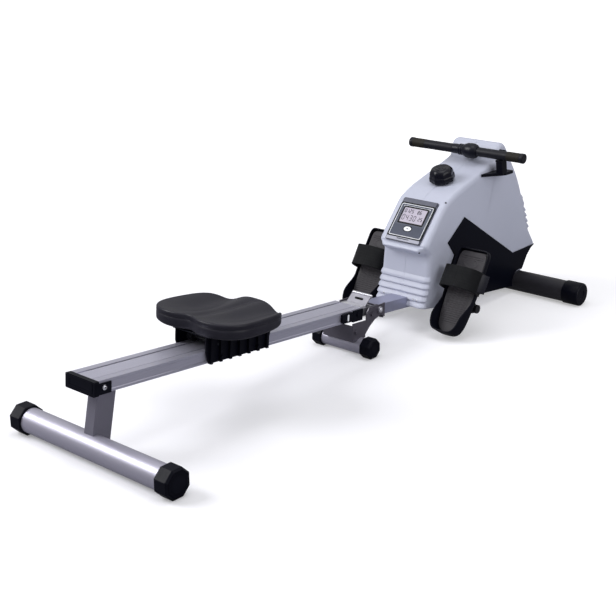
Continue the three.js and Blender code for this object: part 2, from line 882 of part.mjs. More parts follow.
// Hinge bracket of the rail: two ears inside the rail's hollows and a raised ramp between them
function railHinge() {
  const outer = railHollowHalf - seatGap;
  const inner = outer - earThickness;
  const pivot = railPoint(foldX, foldZ);
  const start = railFront - earInRail;
  const top = railHollowTop - seatGap;
  const low = railHollowBottom + seatGap;
  const nose = pivot.x + earRadius;
  const outline = [
    [start, low],
    [railFront + earInRail / 4, low],
    [pivot.x - earRadius / 2, Math.min(low, pivot.z - earRadius)],
    [pivot.x + earRadius / 2, pivot.z - earRadius],
    [nose, pivot.z - earRadius / 2],
    [nose, pivot.z + earRadius / 2],
    [pivot.x + earRadius / 2, pivot.z + earRadius],
    [railFront + earInRail / 2, top],
    [start, top],
  ];
  const ear = alongY(polygon(outline), inner, outer);
  const sheetTop = top;
  const sheetLow = sheetTop - earThickness;
  const sheetStart = railFront + seatGap;
  const bend = sheetStart + rampFlatLength;
  const crest = bend + rampRise;
  const crestEnd = crest + rampCrestLength;
  const high = sheetTop + rampRise;
  const ramp = polygon([
    [sheetStart, sheetLow],
    [bend + earThickness / 2, sheetLow],
    [crest + earThickness / 2, high - earThickness],
    [crestEnd, high - earThickness],
    [crestEnd, high],
    [crest, high],
    [bend, sheetTop],
    [sheetStart, sheetTop],
  ]);
  const sheet = alongY(ramp, -rampHalfWidth, rampHalfWidth);
  const tie = block(sheetStart, bend, -outer, outer, sheetLow, sheetTop);
  const bar = rodY(rampBarRadius, -rampHalfWidth, rampHalfWidth, crest, high - rampBarRadius, smallSides);
  const body = joined(ear, mirrored(ear), sheet, tie, bar);
  return cutBy(body, rodY(foldBoltRadius + seatGap, -railWidth, railWidth, pivot.x, pivot.z, smallSides));
}
addPart(railGroup, "rail_hinge_bracket", railHinge(), zinc);

// Middle bracket: side plates on the middle foot, carrying the pivot and the frame tube
const frameTopZ = (x) => frameTubeTopZ - (x - frameTubeRearX) * Math.tan(frameSlope);
const frameGroup = new THREE.Group();
frameGroup.position.set(frameTubeRearX, 0, frameTubeTopZ);
frameGroup.rotation.y = frameSlope;
frameGroup.updateMatrix();
machine.add(frameGroup);
const frameToWorld = frameGroup.matrix;

function middleBracket() {
  const inner = railWidth / 2 + bracketGap;
  const outer = inner + bracketThickness;
  const footTop = midFootZ + midTubeRadius;
  const underRail = (x) => railTopZ(x) - railHeight - endCapFlangeThickness - bracketGap;
  const rear = midFootX - bracketRearReach;
  const step = railFront + bracketStepReach;
  const front = frameTubeRearX + bracketFrontReach;
  const profile = [
    [rear, footTop - midTubeRadius / 4],
    [midFootX + midTubeRadius / 2, footTop - midTubeRadius / 4],
    [midFootX + bracketKneeX, footTop + bracketKneeZ],
    [foldX - foldBoltHeadRadius * 2, foldZ - bracketKneeZ - bracketFloorThickness],
    [foldX + foldBoltHeadRadius, foldZ - bracketKneeZ + bracketFloorThickness],
    [front, frameTopZ(front) - frameTubeHeight + bracketThickness],
    [front, frameTopZ(front) + bracketTopRise],
    [foldX + foldBoltHeadRadius, foldZ + bracketTopRise],
    [step + bracketTopRise, foldZ + bracketTopRise + bracketThickness],
    [step, foldZ],
    [step, underRail(step)],
    [rear, underRail(rear)],
  ];
  const plate = alongY(polygon(profile), inner, outer);
  const mid = (inner + outer) / 2;
  const wallStart = -seatGap - bracketFloorThickness;
  const endWall = block(wallStart, -seatGap, -mid, mid, -frameTubeHeight, 0);
  endWall.applyMatrix4(frameToWorld);
  const shoeTop = footTop + bracketFloorThickness;
  const shoe = block(rear, midFootX + midTubeRadius, -mid, mid, footTop - midTubeRadius / 4, shoeTop);
  const tieLow = underRail(rear) - bracketFloorThickness * 2;
  const tie = block(rear, rear + bracketFloorThickness, -mid, mid, shoeTop - bracketThickness, tieLow);
  const stud = (x, z) => rodY(stopBoltRadius, mid, outer + foldBoltHeadHeight, x, z, smallSides);
  const studs = [
    stud(step + 4 * stopBoltRadius, foldZ - stopBoltRadius),
    stud(rear + 2 * stopBoltRadius, shoeTop + 3 * stopBoltRadius),
  ];
  const pairs = studs.flatMap((piece) => [piece, mirrored(piece)]);
  const body = joined(plate, mirrored(plate), endWall, shoe, tie, ...pairs);
  const saddle = rodY(midTubeRadius + seatGap, -railWidth, railWidth, midFootX, midFootZ, fineSides);
  const bore = rodY(foldBoltRadius + seatGap, -railWidth, railWidth, foldX, foldZ, smallSides);
  return cutBy(body, saddle, bore);
}
addPart(machine, "middle_bracket", middleBracket(), greyPaint);

const bracketOuter = railWidth / 2 + bracketGap + bracketThickness;
function foldBolt() {
  const end = bracketOuter + seatGap;
  const shank = rodY(foldBoltRadius, -end, end, 0, 0, smallSides);
  const head = rodY(foldBoltHeadRadius, end, end + foldBoltHeadHeight, 0, 0, smallSides);
  return joined(shank, head, mirrored(head));
}
addPart(machine, "fold_pivot_bolt", foldBolt(), zinc).position.set(foldX, 0, foldZ);

// Main frame tube, with the pedal axle's holes and a saddle cut on the front foot
function mainFrameTube() {
  const length = frontFootX - frameTubeRearX - frontTubeRadius / 2;
  const half = frameTubeWidth / 2;
  const inner = half - frameTubeWall;
  const tube = block(0, length, -half, half, -frameTubeHeight, 0);
  const boreLow = frameTubeWall - frameTubeHeight;
  const bore = block(-overrun, length + overrun, -inner, inner, boreLow, -frameTubeWall);
  const body = cutBy(solid(tube), bore).transform(frameToWorld.elements);
  const far = frameTubeWidth;
  const saddle = rodY(frontTubeRadius + seatGap, -far, far, frontFootX, frontFootZ, fineSides);
  const axle = rodY(pedalAxleRadius + seatGap, -far, far, pedalX, pedalZ, smallSides);
  return cutBy(body, saddle, axle);
}
addPart(machine, "main_frame_tube", mainFrameTube(), silverPaint);

// Console's own frame on the slope, and the housing outline that follows it
const consoleAngle = THREE.MathUtils.degToRad(consoleSlopeDegrees);
const consoleGroup = new THREE.Group();
consoleGroup.position.set(consoleX, 0, consoleZ);
consoleGroup.rotation.y = -consoleAngle;
consoleGroup.updateMatrix();
machine.add(consoleGroup);
const consolePoint = (along, out) => new THREE.Vector3(along, 0, out).applyMatrix4(consoleGroup.matrix);
const slopeFoot = consolePoint(-consoleLength / 2 - consoleWall, -consoleProud);
const slopeHead = consolePoint(consoleLength / 2 + consoleWall, -consoleProud);
const byHousing = ([along, up, roundShare]) => [...housingPlace([along, up]), housingRound * roundShare];
const housingProfile = [
  ...neckShares.map(byHousing),
  [slopeFoot.x, slopeFoot.z, housingRound * slopeRoundShare],
  [slopeHead.x, slopeHead.z, housingRound * slopeRoundShare],
  ...bodyShares.map(byHousing),
];
const housingOutline = housingProfile.map(([x, z]) => [x, z]);

// Moves each edge of a clockwise outline inwards by its own distance
function drawnIn(points, distances) {
  const count = points.length;
  const inward = points.map(([x, z], i) => {
    const [nextX, nextZ] = points[(i + 1) % count];
    const length = Math.hypot(nextX - x, nextZ - z);
    return [(nextZ - z) / length, (x - nextX) / length];
  });
  const moved = points.map(([x, z], i) => {
    const [ax, az] = inward.at(i - 1);
    const [bx, bz] = inward[i];
    const a = distances.at(i - 1);
    const b = distances[i];
    const cross = ax * bz - az * bx;
    if (Math.abs(cross) < straightLimit) {
      return [x + ((ax + bx) * (a + b)) / 4, z + ((az + bz) * (a + b)) / 4];
    }
    return [x + (a * bz - b * az) / cross, z + (b * ax - a * bx) / cross];
  });
  // An edge that has shrunk past nothing is closed to a short one at its middle
  for (let pass = 0; pass < insetPasses; pass += 1) {
    points.forEach(([x, z], i) => {
      const next = (i + 1) % count;
      const ex = points[next][0] - x;
      const ez = points[next][1] - z;
      const length = Math.hypot(ex, ez);
      const left = ((moved[next][0] - moved[i][0]) * ex + (moved[next][1] - moved[i][1]) * ez) / length;
      if (left < shortestEdge) {
        const mx = (moved[i][0] + moved[next][0]) / 2;
        const mz = (moved[i][1] + moved[next][1]) / 2;
        const push = shortestEdge / 2 / length;
        moved[i] = [mx - ex * push, mz - ez * push];
        moved[next] = [mx + ex * push, mz + ez * push];
      }
    });
  }
  return moved;
}

// A closed body through rings of [x, z] points, one ring at each place along Y
function loft(rings) {
  const count = rings[0].points.length;
  const position = rings.flatMap(({ y, points }) => points.flatMap(([x, z]) => [x, y, z]));
  const index = [];
  for (let j = 0; j + 1 < rings.length; j += 1) {
    for (let i = 0; i < count; i += 1) {
      const a = j * count + i;
      const b = j * count + ((i + 1) % count);
      index.push(a, b, b + count, a, b + count, a + count);
    }
  }
  const addEnd = (ring, first, outward) => {
    const contour = ring.points.map(([x, z]) => new THREE.Vector2(x, z));
    for (const [a, b, c] of THREE.ShapeUtils.triangulateShape(contour, [])) {
      const turn = THREE.ShapeUtils.area([contour[a], contour[b], contour[c]]);
      const corners = turn * outward > 0 ? [a, c, b] : [a, b, c];
      index.push(...corners.map((corner) => first + corner));
    }
  };
  addEnd(rings[0], 0, -1);
  addEnd(rings.at(-1), (rings.length - 1) * count, 1);
  const geometry = new THREE.BufferGeometry();
  geometry.setAttribute("position", new THREE.Float32BufferAttribute(position, 3));
  geometry.setIndex(index);
  return geometry;
}

// The housing's volume, with the long edges of its side faces rounded, drawn in by a wall
function housingVolume(wall) {
  const full = drawnIn(housingOutline, housingProfile.map(() => wall));
  const face = drawnIn(housingOutline, housingProfile.map(([, , round]) => Math.max(round, wall)));
  const depth = housingRound - wall;
  const flat = housingHalfWidth - housingRound;
  const half = [];
  for (let k = 0; k <= housingRoundSteps; k += 1) {
    const angle = ((Math.PI / 2) * k) / housingRoundSteps;
    const share = 1 - Math.cos(angle);
    const mix = (i, axis) => full[i][axis] + (face[i][axis] - full[i][axis]) * share;
    half.push({ y: flat + depth * Math.sin(angle), points: full.map((point, i) => [mix(i, 0), mix(i, 1)]) });
  }
  const other = half.map(({ y, points }) => ({ y: -y, points })).reverse();
  return loft([...other, ...half]);
}

// Place on the outline's front or rear face at a given height
const neckFace = [0, 3];
const frontFace = [15, 18];
function outlineX(z, [from, to]) {
  for (let i = from; i < to; i += 1) {
    const [x0, z0] = housingOutline[i];
    const [x1, z1] = housingOutline[i + 1];
    if ((z - z0) * (z - z1) <= 0) {
      return x0 + ((x1 - x0) * (z - z0)) / (z1 - z0);
    }
  }
  return housingOutline[to][0];
}

// Ribs across the neck and across the front face
function crossRib(z, pitch, height, halfWidth, out, face) {
  const x = outlineX(z, face);
  const low = z - pitch * ribDropShare;
  const shape = polygon([
    [x - out * overrun, z],
    [x + out * height * ribCrestShare, z],
    [x + out * height, z - pitch * ribCrestDropShare],
    [outlineX(low, face) - out * overrun, low],
  ]);
  return alongY(shape, -halfWidth, halfWidth);
}

const neckRibs = [];
for (let i = 0; i < neckRibCount; i += 1) {
  const top = neckRibTop - i * neckRibPitch;
  neckRibs.push(crossRib(top, neckRibPitch, neckRibHeight, neckHalfWidth, -1, neckFace));
}
const frontRibs = [];
for (let i = 0; i < frontRibCount; i += 1) {
  const top = frontRibTop - i * frontRibPitch;
  frontRibs.push(crossRib(top, frontRibPitch, frontRibHeight, frontRibHalfWidth, 1, frontFace));
}

const pullDirection = new THREE.Vector3(-Math.cos(pullAngle), 0, Math.sin(pullAngle));
const pullPoint = (along, out) => [
  barX - along * pullDirection.x + out * pullDirection.z,
  barZ - along * pullDirection.z - out * pullDirection.x,
];
const [rollerTopX, rollerTopZ] = pullPoint((rollerX - barX) / Math.cos(pullAngle), 0);
const rollerCentreX = rollerTopX - (rollerRadius + strapThickness) * pullDirection.z;
const rollerCentreZ = rollerTopZ + (rollerRadius + strapThickness) * pullDirection.x;

const pullFrame = new THREE.Matrix4().makeRotationY(pullAngle).setPosition(barX, 0, barZ);
const deckAngle = Math.atan2(deckFrontZ - deckRearZ, deckFrontX - deckRearX);
const knobFrame = new THREE.Matrix4().makeRotationY(-deckAngle).setPosition(knobX, 0, knobZ);

// Housing halves, split on the centre plane
function shellHalf() {
  const lip = [rodY(lipRadius, -lipHalfWidth, lipHalfWidth, lipX, lipZ, roundSides)];
  const outer = [...neckRibs, ...frontRibs, ...lip].reduce(
    (body, piece) => body.add(solid(piece)),
    solid(housingVolume(0)),
  );
  const far = 2 * housingHalfWidth;
  const frameSide = frameTubeWidth / 2 + runGap;
  const frameEnd = frontFootX - frameTubeRearX;
  const frameRoom = block(-far * 2, frameEnd, -frameSide, frameSide, -frameTubeHeight - runGap, runGap);
  frameRoom.applyMatrix4(frameToWorld);
  const footRoom = rodY(frontTubeRadius + footNotchGap, -far, far, frontFootX, frontFootZ, fineSides);
  const long = consoleRoomHalf;
  const wide = consoleRoomHalfWidth;
  const consoleRoom = block(-long, long, -wide, wide, -2 * consoleDepth, consoleDepth);
  consoleRoom.applyMatrix4(consoleGroup.matrix);
  const slotSide = strapSlotHalfWidth;
  const slot = block(0, slotReach, -slotSide, slotSide, -strapSlotHalfHeight, strapSlotHalfHeight);
  slot.applyMatrix4(pullFrame);
  const plinth = rodZ(knobPlinthRadius, -knobPlinth - housingWall, -seatGap).applyMatrix4(knobFrame);
  const knobHole = rodZ(knobStemRadius + seatGap * 2, -knobStemLength, knobHeight).applyMatrix4(knobFrame);
  const axleHole = rodY(pedalAxleRadius + runGap, -far, far, pedalX, pedalZ, roundSides);
  const hollow = outer
    .subtract(solid(housingVolume(housingWall)))
    .add(solid(plinth))
    .subtract(solid(frameRoom))
    .subtract(solid(footRoom))
    .subtract(solid(consoleRoom))
    .subtract(solid(slot))
    .subtract(solid(knobHole))
    .subtract(solid(axleHole));
  const bossX = rollerCentreX - rollerBossLength / 2;
  const bossLow = rollerCentreZ - rollerBossLength / 2;
  const bossEnd = bossX + rollerBossLength;
  const bossOuter = rollerBossInner + rollerBossThickness;
  const boss = block(bossX, bossEnd, rollerBossInner, bossOuter, bossLow, rollerBossTop);
  const bossBore = rodY(rollerAxleRadius + seatGap, -far, far, rollerCentreX, rollerCentreZ, smallSides);
  const length = 2 * frontFootX;
  const otherSide = block(-length, length, -far, splitGap / 2, -far, length);
  return hollow.add(solid(boss)).subtract(solid(bossBore)).subtract(solid(otherSide));
}
const shell = shellHalf();
addPart(machine, "housing_shell_left", shell, shellPlastic);
addPart(machine, "housing_shell_right", mirrored(shell), shellPlastic);

// Lower side covers, standing a little proud of the shells
function lowerCover() {
  const inner = housingHalfWidth + seatGap;
  const outer = inner + coverProud;
  const coverProfile = coverShares.map(housingPlace);
  const drawn = drawnIn(coverProfile, coverProfile.map(() => coverEdge));
  const plate = loft([
    { y: inner, points: coverProfile },
    { y: outer - coverEdge, points: coverProfile },
    { y: outer, points: drawn },
  ]);
  const room = frontTubeRadius + footNotchGap;
  return cutBy(solid(plate), rodY(room, 0, 2 * outer, frontFootX, frontFootZ, fineSides));
}
const cover = lowerCover();
addPart(machine, "lower_cover_left", cover, coverPlastic);
addPart(machine, "lower_cover_right", mirrored(cover), coverPlastic);

// Console: a bezel let into the slope, with a screen, a button and the board behind them
function roundedPlate(length, width, corner, z0, z1) {
  const a = length / 2;
  const b = width / 2;
  return alongZ(roundedPolygon([[-a, -b], [a, -b], [a, b], [-a, b]], corner), z0, z1);
}

function oval(length, width, z0, z1, x) {
  const shape = new THREE.Shape();
  shape.absellipse(0, 0, length / 2, width / 2, 0, 2 * Math.PI);
  const options = { depth: z1 - z0, curveSegments: ovalSteps, bevelEnabled: false };
  return new THREE.ExtrudeGeometry(shape, options).translate(x, 0, z0);
}

function consoleBezel() {
  const flange = roundedPlate(consoleLength, consoleWidth, consoleCorner, seatGap - consoleProud, 0);
  const skirtLength = 2 * (consoleRoomHalf - seatGap);
  const skirtWidth = 2 * (consoleRoomHalfWidth - seatGap);
  const skirt = roundedPlate(skirtLength, skirtWidth, consoleCorner / 2, -consoleDepth, -seatGap);
  const pocket = roundedPlate(
    skirtLength - 2 * consoleWall,
    skirtWidth - 2 * consoleWall,
    consoleCorner / 2,
    -consoleDepth - overrun,
    -consoleFaceDepth,
  );
  const windowLow = -screenRecess - screenThickness;
  const windowLength = screenLength + 2 * seatGap;
  const windowWidth = screenWidth + 2 * seatGap;
  const window = roundedPlate(windowLength, windowWidth, screenCorner, windowLow, overrun);
  window.translate(screenShift, 0, 0);
  const buttonHole = oval(buttonLength + runGap, buttonWidth + runGap, -consoleDepth, overrun, buttonShift);
  const body = cutBy(joined(flange, skirt), pocket, window, buttonHole);
  const postX = boardLength / 2 - bracketThickness * 2;
  const postY = boardWidth / 2 - bracketThickness * 2;
  const posts = [[1, 1], [1, -1], [-1, 1], [-1, -1]].map(([sx, sy]) => {
    const post = rodZ(bracketThickness, seatGap - boardDepth, runGap - consoleFaceDepth, cableSides);
    return solid(post.translate(sx * postX, sy * postY, 0));
  });
  return posts.reduce((rest, post) => rest.add(post), body);
}
addPart(consoleGroup, "console_bezel", consoleBezel(), consolePlastic);

const screenLow = seatGap - screenRecess - screenThickness;
const screen = roundedPlate(screenLength, screenWidth, screenCorner, screenLow, -screenRecess);
addPart(consoleGroup, "console_screen", screen.translate(screenShift, 0, 0), screenGlass);
const button = oval(buttonLength, buttonWidth, buttonProud - buttonHeight, buttonProud, buttonShift);
addPart(consoleGroup, "console_button", button, buttonPlastic);
const boardHalf = boardLength / 2;
const boardSide = boardWidth / 2;
const boardLow = -boardDepth - boardThickness;
const board = block(-boardHalf, boardHalf, -boardSide, boardSide, boardLow, -boardDepth);
addPart(consoleGroup, "circuit_board", board, boardGreen);

// Resistance knob, with a stem and a small drum for the brake cable below the deck
function resistanceKnob() {
  const profile = [
    [0, -knobStemLength],
    [knobSpoolRadius, -knobStemLength],
    [knobSpoolRadius, knobSpoolHeight - knobStemLength],
    [knobStemRadius, knobSpoolHeight - knobStemLength],
    [knobStemRadius, runGap],
    [knobRadius, runGap],
    [knobRadius, runGap + knobHeight / 4],
    [knobTopRadius, knobHeight - knobDome],
    [knobTopRadius - knobDome, knobHeight],
    [0, knobHeight],
  ];
  const body = solid(turnedY(profile, knobSides).rotateX(Math.PI / 2));
  const flutes = [];
  for (let i = 0; i < knobLobeCount; i += 1) {
    const angle = ((2 * Math.PI) / knobLobeCount) * i;
    const reach = knobRadius + knobLobeRadius / 2;
    const flute = rodZ(knobLobeRadius, knobHeight / 3, knobHeight + overrun, smallSides);
    flutes.push(flute.translate(reach * Math.cos(angle), reach * Math.sin(angle), 0));
  }
  return cutBy(body, ...flutes);
}
const knobGroup = new THREE.Group();
knobGroup.applyMatrix4(knobFrame);
machine.add(knobGroup);
addPart(knobGroup, "resistance_knob", resistanceKnob(), blackPlastic);

// Handlebar, clamp, grips and the end of the pull strap, in line with the pull
const handleGroup = new THREE.Group();
handleGroup.applyMatrix4(pullFrame);
machine.add(handleGroup);
const tubeHalf = barLength / 2 - gripWall - seatGap;
const bareTube = solid(rodY(barTubeRadius, -tubeHalf, tubeHalf));
const tubeBore = rodY(barTubeRadius - footTubeWall, -barLength, barLength);
addPart(handleGroup, "handlebar_tube", cutBy(bareTube, tubeBore), darkPaint);

function grip() {
  const end = barLength / 2;
  const start = clampHalfWidth + seatGap;
  const profile = [
    [0, start],
    [gripRadius - capChamfer / 3, start],
    [gripRadius, start + capChamfer / 3],
    [gripRadius, end - gripCapLength],
    [gripRadius + gripRim, end - gripCapLength + gripRim],
    [gripRadius + gripRim, end - gripRim],
    [gripRadius, end],
    [0, end],
  ];
  const bore = rodY(barTubeRadius + seatGap, start - overrun, end - gripWall);
  return cutBy(solid(turnedY(profile)), bore);
}
addPart(handleGroup, "grip_left", grip(), gripFoam);
addPart(handleGroup, "grip_right", mirrored(grip()), gripFoam);

function handleClamp() {
  const bore = barTubeRadius + seatGap;
  const profile = [
    [bore, -clampHalfWidth],
    [clampNeckRadius, -clampHalfWidth],
    [clampRadius, clampBulbStart],
    [clampRadius, clampBulbEnd],
    [clampNeckRadius, clampNeckStart],
    [clampNeckRadius, clampHalfWidth],
    [bore, clampHalfWidth],
    [bore, -clampHalfWidth],
  ];
  const body = solid(turnedY(profile));
  const lugEnd = clampRadius + clampLugLength;
  const half = clampLugHeight / 2;
  const wide = strapWidth / 2 + clampLugSide;
  const lug = solid(block(clampNeckRadius - clampLugSide, lugEnd, -wide, wide, -half, half));
  const slotHalf = strapThickness / 2 + seatGap;
  const slotWide = strapWidth / 2 + seatGap;
  const slot = block(strapStart - seatGap, lugEnd + overrun, -slotWide, slotWide, -slotHalf, slotHalf);
  return cutBy(body.add(lug), slot);
}
addPart(handleGroup, "handle_clamp", handleClamp(), blackPlastic);
const strapHalf = strapThickness / 2;
const strapEnd = (rollerX - barX) / Math.cos(pullAngle) - seatGap;
const pullStrap = block(strapStart, strapEnd, -strapWidth / 2, strapWidth / 2, -strapHalf, strapHalf);
addPart(handleGroup, "pull_strap", pullStrap, strapWeb);

// Handle hook on the rower's right: a triangular shelf on the housing, a post and an open cradle
function handleHook() {
  const side = housingHalfWidth + seatGap;
  const shelfTop = hookShelfZ + hookBaseThickness;
  const outer = hookY + hookHalfWidth;
  const shelfEnd = hookBaseX + hookBaseLength;
  const shelf = alongZ(
    polygon([[hookBaseX, side], [shelfEnd, side], [shelfEnd, outer], [barX + hookPostLength, outer]]),
    hookShelfZ,
    shelfTop,
  );
  const cradleInner = gripRadius + gripRim + runGap;
  const cradleOuter = cradleInner + hookWall;
  const points = [];
  const start = THREE.MathUtils.degToRad(hookArcStart);
  const end = THREE.MathUtils.degToRad(hookArcEnd);
  const stretch = Math.cos((end - start) / hookArcSteps / 2);
  for (let i = 0; i <= hookArcSteps; i += 1) {
    const angle = start + ((end - start) * i) / hookArcSteps;
    points.push([barX + cradleOuter * Math.cos(angle), barZ + cradleOuter * Math.sin(angle)]);
  }
  for (let i = hookArcSteps; i >= 0; i -= 1) {
    const angle = start + ((end - start) * i) / hookArcSteps;
    const radius = cradleInner / stretch;
    points.push([barX + radius * Math.cos(angle), barZ + radius * Math.sin(angle)]);
  }
  const inner = hookY - hookHalfWidth;
  const cradle = alongY(polygon(points), inner, outer);
  const post = alongY(
    polygon([
      [barX + hookWall, shelfTop - overrun],
      [barX + hookWall + hookPostLength, shelfTop - overrun],
      [barX + hookWall + hookPostLength / 2 + hookWall, barZ - gripRadius],
      [barX, barZ - cradleInner - hookWall / 2],
    ]),
    inner,
    outer,
  );
  const room = rodY(cradleInner, 0, 2 * outer, barX, barZ, fineSides);
  return joined(shelf, cradle, post).subtract(solid(room));
}
addPart(machine, "handle_hook", mirrored(handleHook()), blackPlastic);

// Roller at the strap slot, with its axle
const rollerAxleHalf = rollerBossInner + rollerBossThickness;
const roller = joined(
  rodY(rollerRadius, -rollerHalfWidth, rollerHalfWidth),
  rodY(rollerAxleRadius, -rollerAxleHalf, rollerAxleHalf, 0, 0, smallSides),
);
addPart(machine, "strap_roller", roller, rollerPlastic).position.set(rollerCentreX, 0, rollerCentreZ);

// Inner run of the strap, from the top of the spool, under and round the roller
function strapInnerRun() {
  const dx = rollerCentreX - driveX;
  const dz = rollerCentreZ - driveZ;
  const spoolReach = spoolWoundRadius + strapHalf + seatGap;
  const rollerReach = rollerRadius + strapHalf + seatGap;
  const lead = Math.atan2(dz, dx) - Math.asin((spoolReach + rollerReach) / Math.hypot(dx, dz));
  const up = lead + Math.PI / 2;
  const startX = driveX + spoolReach * Math.cos(up);
  const startZ = driveZ + spoolReach * Math.sin(up);
  const from = up - Math.PI;
  const to = Math.PI / 2 - pullAngle;
  const stretch = Math.cos((to - from) / strapBendSteps / 2);
  const outerSide = [];
  const innerSide = [];
  outerSide.push([startX - strapHalf * Math.cos(up), startZ - strapHalf * Math.sin(up)]);
  innerSide.push([startX + strapHalf * Math.cos(up), startZ + strapHalf * Math.sin(up)]);
  for (let i = 0; i <= strapBendSteps; i += 1) {
    const angle = from + ((to - from) * i) / strapBendSteps;
    const reach = rollerReach / stretch;
    const far = reach + strapHalf;
    const near = reach - strapHalf;
    outerSide.push([rollerCentreX + far * Math.cos(angle), rollerCentreZ + far * Math.sin(angle)]);
    innerSide.push([rollerCentreX + near * Math.cos(angle), rollerCentreZ + near * Math.sin(angle)]);
  }
  const half = strapWidth / 2;
  return solid(alongY(polygon([...outerSide, ...innerSide.reverse()]), -half, half));
}
addPart(machine, "strap_inner_run", strapInnerRun(), strapWeb);

// Water drum: two turned halves bolted at the middle
function drumHalf() {
  const start = splitGap / 2;
  const end = drumHalfWidth;
  const neckEnd = drumHalfWidth + supportGap - seatGap;
  const bore = shaftRadius + runGap;
  const profile = [
    [drumRadius - drumWall, start],
    [drumRadius + drumFlange, start],
    [drumRadius + drumFlange, start + drumFlangeThickness],
    [drumRadius, start + drumFlangeThickness],
    [drumRadius, end - drumShoulder],
    [drumRadius - drumShoulder, end],
    [drumNeckRadius, end],
    [drumNeckRadius, neckEnd],
    [bore, neckEnd],
    [bore, end - drumWall],
    [drumRadius - drumShoulder - drumWall, end - drumWall],
    [drumRadius - drumWall, end - drumShoulder - drumWall],
    [drumRadius - drumWall, start],
  ];
  return solid(turnedY(profile, fineSides));
}
const drumGroup = new THREE.Group();
drumGroup.position.set(drumX, 0, drumZ);
machine.add(drumGroup);
addPart(drumGroup, "water_drum_left", drumHalf(), clearPlastic);
addPart(drumGroup, "water_drum_right", mirrored(drumHalf()), clearPlastic);

const supportInner = drumHalfWidth + supportGap;
const supportOuter = supportInner + supportThickness;
const shaftHalf = supportOuter + pulleyGap + pulleyThickness + overrun;
const pulleyStart = supportOuter + pulleyGap;
const pulleyEnd = pulleyStart + pulleyThickness;

function impeller() {
  const hub = rodY(hubRadius, -paddleHalfWidth, paddleHalfWidth);
  const shaft = rodY(shaftRadius, -shaftHalf, shaftHalf);
  const reach = hubRadius + paddleLength;
  const half = paddleThickness / 2;
  const paddles = [];
  for (let i = 0; i < paddleCount; i += 1) {
    const paddle = block(hubRadius / 2, reach, -paddleHalfWidth, paddleHalfWidth, -half, half);
    paddles.push(paddle.rotateY(((2 * Math.PI) / paddleCount) * i));
  }
  const pulley = rodY(smallPulleyRadius, pulleyStart, pulleyEnd);
  return joined(hub, shaft, pulley, ...paddles);
}
addPart(drumGroup, "impeller", impeller(), coverPlastic);

const shaftBore = shaftRadius + seatGap;
const flywheel = turnedY([
  [shaftBore, -pulleyEnd],
  [hubRadius, -pulleyEnd],
  [hubRadius, -pulleyStart - flywheelThickness],
  [flywheelRadius, -pulleyStart - flywheelThickness],
  [flywheelRadius, -pulleyStart],
  [shaftBore, -pulleyStart],
  [shaftBore, -pulleyEnd],
], fineSides);
addPart(drumGroup, "flywheel", flywheel, steel);

// Support plates on the frame tube, carrying both shafts, the brake and the spring's pin
const brakeMiddle = (drumRadiusToBrake) => drumRadiusToBrake + brakeRimGap + brakeThickness / 2;
const brakeRadius = brakeMiddle(flywheelRadius);
const brakeRear = THREE.MathUtils.degToRad(brakeRearDegrees);
const brakeFront = brakeRear - THREE.MathUtils.degToRad(brakeArcDegrees);
const brakePivotX = drumX + brakeRadius * Math.cos(brakeRear);
const brakePivotZ = drumZ + brakeRadius * Math.sin(brakeRear);
const springOuter = springInnerRadius + springTurns * springPitch + springThickness / 2;
const springPinX = driveX + springOuter + seatGap + springPinRadius;

function drumSupport() {
  const foot = (x) => frameTopZ(x) + seatGap;
  const ends = supportFootShares.map((along) => drumX + driveSetback * along);
  const outline = [...ends.map((x) => [x, foot(x)]), ...supportShares.map(byShafts)];
  const plate = alongY(polygon(outline), supportInner, supportOuter);
  const [floorStart, floorEnd] = ends.map((x) => (x - frameTubeRearX) / Math.cos(frameSlope));
  const mid = supportInner + supportThickness / 2;
  const floor = block(floorStart, floorEnd, -mid, mid, seatGap, seatGap + supportThickness);
  floor.applyMatrix4(frameToWorld);
  const into = supportInner + seatGap;
  const boss = rodY(bearingRadius, supportInner - bearingThickness, into, driveX, driveZ);
  const pin = rodY(springPinRadius, -into, -springStart, springPinX, driveZ, smallSides);
  const stud = rodY(brakePivotRadius, -shaftHalf, -into, brakePivotX, brakePivotZ, smallSides);
  const body = joined(plate, mirrored(plate), floor, boss, mirrored(boss), pin, stud);
  const far = 2 * supportOuter;
  const driveBore = rodY(shaftRadius + runGap, -far, far, driveX, driveZ);
  const drumBore = rodY(shaftRadius + runGap, -far, far, drumX, drumZ);
  const lightener = rodY(supportHoleRadius, -far, far, supportHoleX, supportHoleZ);
  return cutBy(body, driveBore, drumBore, lightener);
}
addPart(machine, "drum_support", drumSupport(), greyPaint);

function brakeYoke() {
  const start = -pulleyStart - flywheelThickness - brakeCheek;
  const end = seatGap * 2 - pulleyStart;
  const inner = flywheelRadius + brakeRimGap;
  const outer = inner + brakeThickness;
  const points = [];
  const step = (brakeRear - brakeFront) / brakeSteps;
  for (let i = 0; i <= brakeSteps; i += 1) {
    const angle = brakeFront + step * i;
    points.push([outer * Math.cos(angle), outer * Math.sin(angle)]);
  }
  const clear = inner / Math.cos(step / 2);
  for (let i = brakeSteps; i >= 0; i -= 1) {
    const angle = brakeFront + step * i;
    points.push([clear * Math.cos(angle), clear * Math.sin(angle)]);
  }
  const arc = alongY(polygon(points), start, end).translate(drumX, 0, drumZ);
  const eye = rodY(brakeJawHalfWidth, start, end, brakePivotX, brakePivotZ);
  const bore = rodY(brakePivotRadius + seatGap, 2 * start, 0, brakePivotX, brakePivotZ, smallSides);
  return cutBy(joined(arc, eye), bore);
}
addPart(machine, "brake_yoke", brakeYoke(), steel);

// Drive shaft with the large belt pulley, the clutch, the strap spool and its return spring
const driveGroup = new THREE.Group();
driveGroup.position.set(driveX, 0, driveZ);
machine.add(driveGroup);

